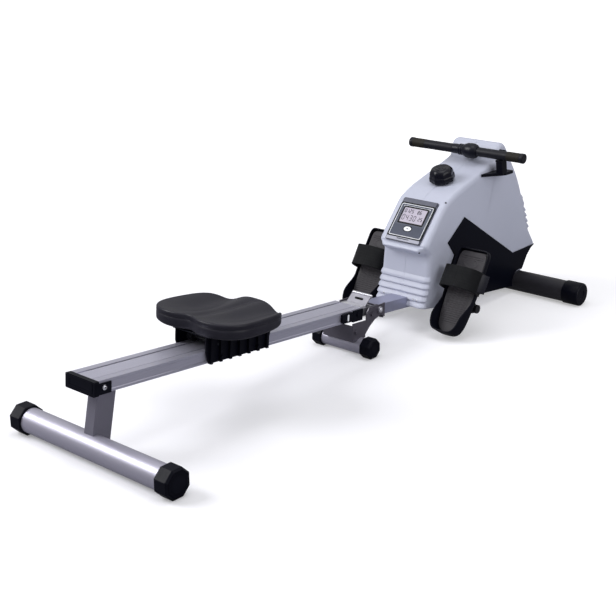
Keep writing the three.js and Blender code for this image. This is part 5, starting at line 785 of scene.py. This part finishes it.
def seatSurface():
    # Underside, wall, rounded rim and dished top as rings of one outline. The outline is a
    # squarish oval with a notch at the rear, narrower to the front. The top is the rim height
    # less two dishes, a middle valley and two thigh hollows in the front edge.
    s = seat
    angle = np.linspace(0, 2 * np.pi, s["spokes"], endpoint=False)
    power = s["squareness"]
    reach = (np.abs(np.cos(angle) / s["halfLength"]) ** power
             + np.abs(np.sin(angle) / s["halfWidth"]) ** power) ** (-1 / power)
    fromRear = np.arctan2(np.sin(angle), -np.cos(angle))
    reach = reach - s["notch"] * np.exp(-(fromRear / s["notchAngle"]) ** 2)
    x = reach * np.cos(angle)
    forward = (x / s["halfLength"] + 1) / 2
    y = reach * np.sin(angle) * (1 - (1 - s["frontShare"]) * forward ** 2)
    rings = []

    def addRing(share, height):
        rings.append(lifted(np.column_stack([x * share, y * share]), height))

    def rimAt(share):
        # the rim less the two thigh hollows
        across = (np.abs(y * share) - s["dipY"]) / s["dipWidth"]
        return s["rim"] - s["dipDepth"] * np.exp(-across ** 2 - ((x * share - s["halfLength"]) / s["dipLength"]) ** 2)

    addRing(0.0, s["low"])
    addRing(s["lowShare"], s["low"])
    for a in np.linspace(0, np.pi / 2, 6)[1:]:
        share = s["lowShare"] + (1 - s["lowShare"]) * math.sin(a)
        addRing(share, s["low"] + s["lowRound"] - s["lowRound"] * math.cos(a))
    for share, drop in s["welt"]:
        addRing(share, rimAt(share) - drop)
    for a in np.linspace(0, np.pi / 2, 8):
        share = 1 - s["topShare"] * (1 - math.cos(a))
        addRing(share, rimAt(share) - s["topRound"] + s["topRound"] * math.sin(a))
    for share in (0.958, 0.95, 0.935, *np.linspace(0.91, 0.0, s["rings"])):
        lobe = np.exp(-((np.abs(y * share) - s["lobeY"]) / s["lobeWidth"]) ** 2 - (x * share / s["lobeLength"]) ** 2)
        valley = np.exp(-(y * share / s["valleyWidth"]) ** 2)
        fade = 1 - share ** 7
        addRing(share, rimAt(share) - fade * (s["dish"] * lobe + s["valley"] * valley))
    points = np.array(rings)
    points[..., 0] += s["x"]
    return points


cushion = gridPiece("seatCushionSkin", onRail(seatSurface()), "seat", "vinylSkin", sharp=60)
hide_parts("seat_cushion")
print("seat done")


# pull bar, its strap and the brake cable

bar = {"x": 1523, "z": 493, "tube": 11, "grip": 14.5, "rim": 0.8, "length": 418, "clampHalf": 44, "endRing": 58,
       "play": 0.3, "ripple": 0.18}


def onBar(points):
    return turnedAboutY(points, (bar["x"], 0, bar["z"]), pullAngle)


def gripProfile(side):
    # foam tube with shallow rings where it has been rolled on, and a capped end with a rim
    half, start, bore = bar["length"] / 2, bar["clampHalf"] + bar["play"], bar["tube"] + bar["play"]
    g, r = bar["grip"], bar["rim"]
    y = np.linspace(start + 1.5, half - 13, 60)
    ripple = bar["ripple"] * np.sin(y / 3.1) * np.sin(y / 11.0)
    rows = [(bore, start), (g - 1.4, start), *zip(g - 0.3 + ripple, y)]
    rows += [(g, half - 12.2), (g + r, half - 11), (g + r, half - 2), (g, half - 0.4), (g - 2.5, half),
             (g - 3, half - 0.8), (0, half - 0.8)]
    rows = [(a, b * side) for a, b in rows]
    return rows + [(0, rows[-1][1] - 3 * side), (bore, rows[-1][1] - 3 * side), rows[0]]


for side, sign in bothSides:
    grip = gridPiece(f"foamGrip{side.capitalize()}", onBar(turned(gripProfile(sign), 48)), "handle", "gripFoam")
    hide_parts(f"grip_{side}")
    # the outer part of each grip is a coarser, brownish foam ring
    far, near = bar["length"] / 2 - 12.6, bar["length"] / 2 - bar["endRing"]
    sunk, proud = bar["grip"] - 0.6, bar["grip"] + 0.1
    ring = [(sunk, near * sign), (proud, (near + 0.8) * sign), (proud, (far - 0.6) * sign), (sunk, far * sign)]
    gridPiece(f"gripEndRing{side.capitalize()}", onBar(turned(ring + ring[:1], 48)), "handle", "gripEndFoam")

# bulb in the middle, a smooth sleeve that runs out of it and a ridged collar on the left, turned
# round the bar from (radius, along), with how round each corner is
clampBulb = {
    "profile": [(11.4, -44), (15.2, -44), (17.6, -41.5), (21, -37), (23.6, -29), (23.9, -20), (23.2, -8), (20.5, -1),
                (18, 4), (15.8, 6), (15.8, 9), (17.4, 10.5), (17.4, 13), (15.8, 14.5), (15.8, 17), (17.4, 18.5),
                (17.4, 21), (15.8, 22.5), (15.4, 26), (15.2, 44), (11.4, 44)],
    "soft": [0.5, 1, 2, 4, 5, 6, 6, 4, 2, 1.5, 1.5, 1, 1, 1, 1, 1, 1, 1, 2, 1, 0.5],
    "lugPath": [(11, 0), (20, 0), (30, 0), (38.6, 0)], "lug": (40, 14, 4),
}
bulb = softCorners(clampBulb["profile"], clampBulb["soft"], 5, closed=False)
clamp = gridPiece("barClampBulb", onBar(turned(np.vstack([bulb, bulb[:1]]), 56)), "handle", "clampPlastic")
lug = closedEnds(carried(clampBulb["lugPath"], roundedSection(*clampBulb["lug"])))
gridPiece("barClampLug", onBar(lug), "handle", "clampPlastic")
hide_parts("handle_clamp")

strap = {"start": 30, "end": 69, "width": 32, "thick": 2.0, "corner": 0.8, "rollerReach": 12.4, "rollerEnd": 153.9,
         "spoolPoint": (1376.4, 353.7), "pullLengthM": 0.04, "innerLengthM": 0.27}


def webbing(name, points, body, lengthM, widthM, **rest):
    # a band with a plain map in metres for its weave: u along its rows and v round it
    piece = gridPiece(name, points, body, "wovenWebbing", **rest)
    rows, columns = points.shape[:2]
    layer = piece.data.uv_layers.new(name="weave")
    corner = np.zeros(len(piece.data.loops), dtype=np.int32)
    piece.data.loops.foreach_get("vertex_index", corner)
    u = (corner // columns) / (rows - 1) * lengthM
    v = (corner % columns) / columns * widthM
    layer.data.foreach_set("uv", np.stack([u, v], axis=-1).ravel())
    return piece


bandSection = roundedSection(strap["width"], strap["thick"], strap["corner"])
roundBandM = 2 * (strap["width"] + strap["thick"]) / 1000
strapEnd = strap["end"] / math.cos(pullAngle)
pullPath = np.column_stack([np.linspace(strap["start"], strapEnd, 60), np.zeros(60)])
pullRows = closedEnds(carried(pullPath, bandSection))
pull = webbing("pullWebbing", onBar(pullRows), None, strap["pullLengthM"], roundBandM)
strapEnds = [Vector(toFrame(onBar(np.array([x, 0.0, 0.0])))) for x in (strapEnd, strap["start"])]
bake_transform(pull)
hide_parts("pull_strap")
# inside the housing the band bends over the roller and runs straight to the spool
rollerLow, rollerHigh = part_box("strap_roller")
rollerX, rollerZ = (rollerLow[0] + rollerHigh[0]) * 500 + rearFootX, (rollerLow[2] + rollerHigh[2]) * 500
bend = np.radians(np.linspace(math.degrees(pullAngle), strap["rollerEnd"], 24))
reach = strap["rollerReach"]
innerPath = np.column_stack([rollerX + reach * np.sin(bend), rollerZ + reach * np.cos(bend)])
toSpool = innerPath[-1] + (np.array(strap["spoolPoint"]) - innerPath[-1]) * np.linspace(0.04, 1, 24)[:, None]
innerRows = closedEnds(carried(np.vstack([innerPath, toSpool]), bandSection))
innerRun = webbing("strapInnerRun", innerRows, "frame", strap["innerLengthM"], roundBandM)
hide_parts("strap_inner_run")

cable = {"radius": 1.9, "steps": 14, "sides": 12, "points": [
    (1408.4, -18, 391.2), (1422.4, -40.2, 391.2), (1442, -64.3, 358), (1449, -62.3, 344), (1449, -62.3, 330)]}


def cableSurface():
    # the brake cable: a round line carried along a Catmull-Rom curve through its points
    p = np.array(cable["points"], dtype=float)
    p = np.vstack([2 * p[0] - p[1], p, 2 * p[-1] - p[-2]])
    t = np.linspace(0, 1, cable["steps"], endpoint=False)[:, None]
    spans = [0.5 * (2 * b + (c - a) * t + (2 * a - 5 * b + 4 * c - d) * t ** 2 + (3 * b - a - 3 * c + d) * t ** 3)
             for a, b, c, d in zip(p[:-3], p[1:-2], p[2:-1], p[3:])]
    line = np.vstack(spans + [p[-2:-1]])
    along = unit(np.gradient(line, axis=0))
    side = unit(np.cross(along, (1.0, 0.3, 0.0)))
    third = np.cross(along, side)
    angle = np.linspace(0, 2 * np.pi, cable["sides"], endpoint=False)[None, :, None]
    return closedEnds(line[:, None] + cable["radius"] * (side[:, None] * np.cos(angle) + third[:, None] * np.sin(angle)))


cablePiece = gridPiece("brakeCableSheath", cableSurface(), "frame", "mouldedNylon")
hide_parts("brake_cable")
print("bar done")


# footplates

pedalTurn = -math.radians(58)
plate = {
    "x": 1290, "y": 167, "z": 79, "bottom": 31, "thick": 6, "rimHeight": 7, "tread": 5, "rimWide": 7, "cup": 44,
    "cupLength": 116, "heel": -104, "toe": 167,
    "half": [(-104, 22), (-97, 37), (-80, 47), (-44, 52), (20, 55), (105, 55), (150, 54), (163, 50), (167, 42)],
    "soft": [14, 16, 18, 20, 20, 20, 8, 6, 5],
    # lugs on the axle: radius of their round end, their foot's corner, thickness and place
    "lugRadius": 15, "lugFoot": (30, 37), "lugLevels": [(-4.5, 0.5), (-4, 0), (4, 0), (4.5, 0.5)], "lugY": (-31, 31),
}
tread = {"inset": 8.5, "lift": 0.3, "ribPitch": 6.5, "ribDepth": 0.9, "ribFrom": (-74, -70), "ribTo": (146, 142),
         "toeFrom": (60, 64), "toeTo": (132, 128), "ovalX": 122, "ovalHalf": (13, 24), "ovalHeight": 0.8}
band = {
    "side": 57.2, "base": 34.5, "shoulder": 57, "top": 97.2, "bulge": 3, "power": 0.75, "x": 64, "width": 68,
    "thick": 3.4, "corner": 1.4, "ripple": 1.2, "samples": 72, "lengthM": 0.25, "roundM": 0.14,
    # the free end that hangs from the buckle: its path (y, z), then width, thickness and corner
    "tailPath": [(56, 66), (62, 58), (70, 50), (79, 45)], "tail": (56, 2.6, 1.1), "tailX": 66,
}


def resampled(outline, step):
    # an outline walked in even steps
    closed = np.vstack([outline, outline[:1]])
    length = np.concatenate([[0], np.cumsum(np.linalg.norm(np.diff(closed, axis=0), axis=1))])
    at = np.linspace(0, length[-1], int(length[-1] / step), endpoint=False)
    return np.column_stack([np.interp(at, length, closed[:, k]) for k in (0, 1)])


def soleOutline():
    # half the sole's outline, mirrored and run round once with soft corners
    half, soft = plate["half"], plate["soft"]
    return softCorners([(x, -y) for x, y in half] + [(x, y) for x, y in reversed(half)], soft + soft[::-1], 7)


def footplateShell():
    # a tray: the outline goes up outside, over a rounded rim and down inside to the floor. The
    # rim follows the heel cup, which slopes down to the low rim.
    p = plate
    outline = resampled(soleOutline(), 3.0)
    floor = p["bottom"] + p["thick"]
    rim = floor + p["tread"] + p["rimHeight"]
    top = floor + p["cup"]
    cupEnd = p["heel"] + p["cupLength"]
    slope = smooth(0, 1, (cupEnd - outline[:, 0]) / (cupEnd - p["heel"] - p["cupLength"] / 3))
    rise = rim + (top - rim) * slope
    inward = squareTo(np.roll(outline, -2, axis=0) - np.roll(outline, 2, axis=0))
    wall = p["rimWide"] * 0.6
    levels = [(p["bottom"], 3.0), (p["bottom"] + 1.5, 0.6), (p["bottom"] + 3.5, 0.0), (rim - 6, 0.0), (rise - 1.6, 0.0),
              (rise - 0.4, 0.7), (rise, wall / 2), (rise - 0.4, wall - 0.7), (rise - 1.6, wall),
              (floor + 2, wall + 0.6), (floor, wall + 2.2)]
    return closedEnds(np.array([lifted(outline + inward * d, z) for z, d in levels]))


def treadSheet():
    # a sheet over the sole: half width from the outline, ribs across it in the middle field and
    # an oval ring near the toe, with its edges turned down
    p, r = plate, tread
    upper = soleOutline()
    upper = upper[upper[:, 1] > 0]
    upper = upper[np.argsort(upper[:, 0])]
    t = np.linspace(0, np.pi, 340)
    middle, half = (p["heel"] + p["toe"]) / 2, (p["toe"] - p["heel"]) / 2
    x = middle - (half - r["inset"]) * np.cos(t)
    soleX = middle + (x - middle) * half / (half - r["inset"])
    wide = np.interp(soleX, upper[:, 0], upper[:, 1]) - r["inset"]
    wide = wide * np.clip(np.sin(t) * 14, 0, 1) ** 0.5
    v = np.linspace(-1, 1, 61)
    y = wide[:, None] * v
    low = p["bottom"] + p["thick"] + r["lift"]
    field = smooth(0.86, 0.8, np.abs(v))[None, :] * (smooth(*r["ribFrom"], x) * smooth(*r["ribTo"], x))[:, None]
    wave = 0.5 + 0.5 * np.tanh(3 * np.sin(2 * np.pi * x / r["ribPitch"]))
    toe = smooth(*r["toeFrom"], x) * smooth(*r["toeTo"], x)
    ribs = field * (r["ribDepth"] * wave[:, None] - r["ribDepth"]) * (1 - toe)[:, None]
    ovalR = np.sqrt(((x[:, None] - r["ovalX"]) / r["ovalHalf"][0]) ** 2 + (y / r["ovalHalf"][1]) ** 2)
    ring = r["ovalHeight"] * np.exp(-((ovalR - 1) / 0.12) ** 2)
    grid = np.stack([np.broadcast_to(x[:, None], y.shape), y, low + p["tread"] + ribs + ring], axis=-1)
    skirt = grid.copy()
    skirt[..., 2] = low
    return np.concatenate([skirt[:, :1], grid, skirt[:, -1:]], axis=1)


def bandPath():
    # from under the sole up both sides and over in a flattened arch: a superellipse in the
    # pedal's y, z plane
    b = band
    angle = np.linspace(0, np.pi, b["samples"])
    c, s = np.cos(angle), np.sin(angle)
    y = (b["side"] + b["bulge"]) * np.sign(c) * np.abs(c) ** b["power"]
    z = b["shoulder"] + (b["top"] - b["shoulder"]) * s ** b["power"]
    rise = np.linspace(0, 1, 8)[:-1]
    start = np.column_stack([b["side"] + b["bulge"] * rise, b["base"] + (b["shoulder"] - b["base"]) * rise])
    return np.vstack([start, np.column_stack([y, z]), start[::-1] * (-1, 1)])


def footBand():
    # the band's cross-section (along the foot, thickness) carried over the arch, with a soft
    # ripple at both its edges, as a worn strap lies
    path = bandPath()
    normal = -squareTo(np.gradient(path, axis=0))
    section = roundedSection(band["width"], band["thick"], band["corner"], 4)
    dense = []
    for a, b in zip(section, np.roll(section, -1, axis=0)):
        steps = max(1, int(np.linalg.norm(b - a) / 5))
        dense += [a + (b - a) * k / steps for k in range(steps)]
    section = np.array(dense)
    t = np.linspace(0, 1, len(path))[:, None]
    edge = (section[:, 0] / (band["width"] / 2)) ** 2
    out = section[:, 1] + band["ripple"] * np.sin(t * 9 * np.pi) * edge * np.sin(t * np.pi)
    x = band["x"] + section[:, 0] * (1 - 0.04 * np.sin(t * np.pi))
    return np.stack([x, path[:, :1] + normal[:, :1] * out, path[:, 1:] + normal[:, 1:] * out], axis=-1)


lugArc = [(plate["lugRadius"] * math.sin(a), -plate["lugRadius"] * math.cos(a))
          for a in np.linspace(-math.pi / 3, math.pi / 3, 12)]
lugX, lugTop = plate["lugFoot"]
lugStack = plateStack(lugArc + [(lugX, lugTop), (-lugX, lugTop)], plate["lugLevels"])
tailPath = softCorners(band["tailPath"], 8, 6, closed=False)
tailRows = closedEnds(carried(tailPath, roundedSection(*band["tail"], 4)))


def onPedal(points, sign):
    return turnedAboutY(points, (plate["x"], sign * plate["y"], plate["z"]), pedalTurn)


for side, sign in bothSides:
    body, suffix = f"pedal_{side}", side.capitalize()
    tray = gridPiece("footplateTray" + suffix, onPedal(footplateShell(), sign), body, "mouldedNylon")
    for k, y in enumerate(plate["lugY"]):
        rows = np.stack([lugStack[..., 0], lugStack[..., 2] + y, lugStack[..., 1]], axis=-1)
        gridPiece(f"footplateLug{suffix}{k}", onPedal(rows, sign), body, "mouldedNylon")
    sheet = gridPiece("treadSheet" + suffix, onPedal(treadSheet(), sign), body, "treadRubber", loopColumns=False, sharp=70)
    closed = webbing("footBand" + suffix, onPedal(footBand(), sign), body, band["lengthM"], band["roundM"], sharp=60)
    tail = np.stack([tailRows[..., 1] + band["tailX"], tailRows[..., 0] * sign, tailRows[..., 2]], axis=-1)
    gridPiece("footBandTail" + suffix, onPedal(tail, sign), body, "clampPlastic")
    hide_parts(f"footplate_{side}")
    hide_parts(f"tread_{side}")
    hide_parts(f"foot_strap_{side}")
print("footplates done")


# resistance knob

knob = {
    "x": 1399.8, "z": 420.6, "sides": 8, "deckFall": (59, 203), "spokes": 96, "topSpokes": 64, "dish": 38.6,
    # cap: (height, radius, share of the polygon against the circle); top: (height, radius)
    "cap": [(0.6, 0, 0), (0.6, 38.6, 1), (1.6, 39.6, 1), (15, 39.6, 1), (17, 38.6, 1), (18.2, 37.4, 1), (27, 36.4, 0.9),
            (32, 34.4, 0.6), (36, 31.4, 0.3), (38.8, 28.2, 0.1), (40.4, 25.2, 0), (40.8, 23.6, 0), (40.2, 22.2, 0)],
    "top": [(39.2, 22.4), (40.2, 22.2), (39.7, 20.6), (39.6, 18.4), (40.9, 17), (41.6, 15.2), (41.4, 13.4), (40.2, 12),
            (40, 8.6), (41.4, 7), (42.2, 4), (42.4, 0)],
}


def knobSurface():
    # height levels of a regular polygon, blended with a circle by a share: a straight skirt, a
    # chamfer, a drum that leans in, a round shoulder and a top that is pressed in like a dish
    angle = np.linspace(0, 2 * np.pi, knob["spokes"], endpoint=False)
    half = np.pi / knob["sides"]
    polygon = math.cos(half) / np.cos(np.mod(angle, 2 * half) - half)
    rows = []
    for z, radius, facet in knob["cap"]:
        reach = radius * (1 + (polygon - 1) * facet)
        rows.append(lifted(np.column_stack([reach * np.cos(angle), reach * np.sin(angle)]), z))
    rows.append(np.tile([0, 0, knob["dish"]], (knob["spokes"], 1)))
    return np.array(rows)


def knobTop():
    # a shallow dish with a raised ring and a raised boss: height over radius, carried round Z
    angle = np.linspace(0, 2 * np.pi, knob["topSpokes"], endpoint=False)
    circle = np.column_stack([np.cos(angle), np.sin(angle)])
    return np.array([lifted(circle * r, z) for z, r in knob["top"]])


def onDeck(points):
    return turnedAboutY(points, (knob["x"], 0, knob["z"]), -math.atan2(*knob["deckFall"]))


knobPiece = gridPiece("knobCap", onDeck(knobSurface()), "knob", "knobNylon", sharp=30)
gridPiece("knobTop", onDeck(knobTop()), "knob", "knobNylon", sharp=60)
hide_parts("resistance_knob")
print("knob done")


# floor, light and camera

studio = {
    "floor": [(-40, -40, 0), (60, -40, 0), (60, 60, 0), (-40, 60, 0)], "floorTones": ("#dcdce2", "#62626c"),
    "glowFrom": (-1.2, 0.2, 0.0), "glowReach": (1.2, 4.6), "glow": (0.25, 0.8), "mirroredGlow": 0.3,
    # the sky's light at the horizon and overhead, and the same in reflections
    "sky": (0.22, 0.5), "mirroredSky": (0.3, 1.0),
    # each lamp: place, target, size and power
    "lamps": {
        "keyLight": ((-2.4, 2.5, 2.8), (0.0, 0, 0.2), 2.4, 132),
        "topLight": ((-0.1, -0.2, 3.1), (0.0, 0, 0.2), 2.2, 28),
        "rightLight": ((0.0, -3.2, 1.8), (0.1, 0, 0.2), 2.2, 31),
    },
    # worked out from the photograph: degrees, the focal length in its pixels, and the place in mm
    "camera": {"yaw": 40.95, "pitch": 19.08, "roll": -0.28, "focal": 1198, "frame": 616, "sensor": 36,
               "place": (-1577, -2037.3, 1247.7)},
}


def ranged(fromRange, toRange):
    return {"From Min": fromRange[0], "From Max": fromRange[1], "To Min": toRange[0], "To Max": toRange[1]}


def makeFloor():
    # pale floor: its lit part keeps the shadows, and a glow that only the camera and reflections
    # see fills up to white. The lamps weaken with distance, so the glow grows with it.
    mesh = bpy.data.meshes.new("studioFloor")
    mesh.from_pydata(studio["floor"], [], [(0, 1, 2, 3)])
    floor = bpy.data.objects.new("studioFloor", mesh)
    bpy.context.scene.collection.objects.link(floor)
    material, tree = newMaterial("paleFloor")
    path = addNode(tree, "ShaderNodeLightPath")
    glossy = path.outputs["Is Glossy Ray"]
    mirrored = addNode(tree, "ShaderNodeMath", {"operation": "MULTIPLY", 1: studio["mirroredGlow"]}, {0: glossy})
    seen = addNode(tree, "ShaderNodeMath", {"operation": "MAXIMUM"},
                   {0: path.outputs["Is Camera Ray"], 1: mirrored.outputs[0]})
    seen = addNode(tree, "ShaderNodeMath", {"operation": "MAXIMUM"},
                   {0: seen.outputs[0], 1: path.outputs["Is Transmission Ray"]})
    coords = addNode(tree, "ShaderNodeTexCoord").outputs["Object"]
    away = addNode(tree, "ShaderNodeVectorMath", {"operation": "DISTANCE", 1: studio["glowFrom"]}, {0: coords})
    fill = addNode(tree, "ShaderNodeMapRange", ranged(studio["glowReach"], studio["glow"]),
                   {"Value": away.outputs["Value"]})
    glow = addNode(tree, "ShaderNodeMath", {"operation": "MULTIPLY"}, {0: seen.outputs[0], 1: fill.outputs[0]})
    lit, inMirrors = (linear(code) for code in studio["floorTones"])
    colour = addNode(tree, "ShaderNodeMix", {"data_type": "RGBA", 6: lit, 7: inMirrors}, {0: glossy})
    shader = addNode(tree, "ShaderNodeBsdfPrincipled",
                     {"Roughness": 0.9, "Specular IOR Level": 0.1, "Emission Color": linear("#ffffff")},
                     {"Base Color": colour.outputs[2], "Emission Strength": glow.outputs[0]})
    addNode(tree, "ShaderNodeOutputMaterial", None, {"Surface": shader.outputs[0]})
    mesh.materials.append(material)


def makeWorld():
    # white for the camera, brighter overhead than at the horizon for reflections, and a level grey
    # for the light it gives
    world = bpy.data.worlds.new("studioSky")
    bpy.context.scene.world = world
    world.use_nodes = True
    tree = world.node_tree
    tree.nodes.clear()
    path = addNode(tree, "ShaderNodeLightPath")
    seen = addNode(tree, "ShaderNodeMath", {"operation": "MAXIMUM"},
                   {0: path.outputs["Is Camera Ray"], 1: path.outputs["Is Transmission Ray"]})
    way = addNode(tree, "ShaderNodeSeparateXYZ", None, {0: addNode(tree, "ShaderNodeTexCoord").outputs["Generated"]})
    level = addNode(tree, "ShaderNodeMapRange", ranged((0.0, 0.9), studio["sky"]), {"Value": way.outputs[2]})
    mirrored = addNode(tree, "ShaderNodeMapRange", ranged((0.1, 0.9), studio["mirroredSky"]),
                       {"Value": way.outputs[2]})
    light = addNode(tree, "ShaderNodeMix", {"data_type": "FLOAT"},
                    {0: path.outputs["Is Glossy Ray"], 2: level.outputs[0], 3: mirrored.outputs[0]})
    strength = addNode(tree, "ShaderNodeMix", {"data_type": "FLOAT", 3: 1.0}, {0: seen.outputs[0], 2: light.outputs[0]})
    back = addNode(tree, "ShaderNodeBackground", {"Color": linear("#ffffff")}, {"Strength": strength.outputs[0]})
    addNode(tree, "ShaderNodeOutputWorld", None, {"Surface": back.outputs[0]})


def areaLight(name, place, target, size, power):
    data = bpy.data.lights.new(name, "AREA")
    data.shape = "DISK"
    data.size = size
    data.energy = power
    light = bpy.data.objects.new(name, data)
    light.location = place
    light.rotation_euler = (Vector(target) - Vector(place)).to_track_quat("-Z", "Y").to_euler()
    bpy.context.scene.collection.objects.link(light)


def makeCamera():
    # ahead from yaw and pitch, then its right and up turned by the roll
    c = studio["camera"]
    data = bpy.data.cameras.new("photoCamera")
    data.sensor_width = c["sensor"]
    data.lens = c["focal"] / c["frame"] * c["sensor"]
    data.clip_end = 200
    camera = bpy.data.objects.new("photoCamera", data)
    yaw, pitch, roll = (math.radians(c[turn]) for turn in ("yaw", "pitch", "roll"))
    ahead = Vector((math.cos(yaw) * math.cos(pitch), math.sin(yaw) * math.cos(pitch), -math.sin(pitch)))
    right = Vector((math.sin(yaw), -math.cos(yaw), 0))
    up = right.cross(ahead)
    across = math.cos(roll) * right + math.sin(roll) * up
    upward = math.cos(roll) * up - math.sin(roll) * right
    turn = Matrix((across, upward, -ahead)).transposed()
    camera.matrix_world = Matrix.Translation(Vector(toFrame(c["place"]))) @ turn.to_4x4()
    bpy.context.scene.collection.objects.link(camera)
    bpy.context.scene.camera = camera


makeFloor()
makeWorld()
for name, lamp in studio["lamps"].items():
    areaLight(name, *lamp)
makeCamera()
view = bpy.context.scene.view_settings
view.view_transform = "Standard"
print("stage done")
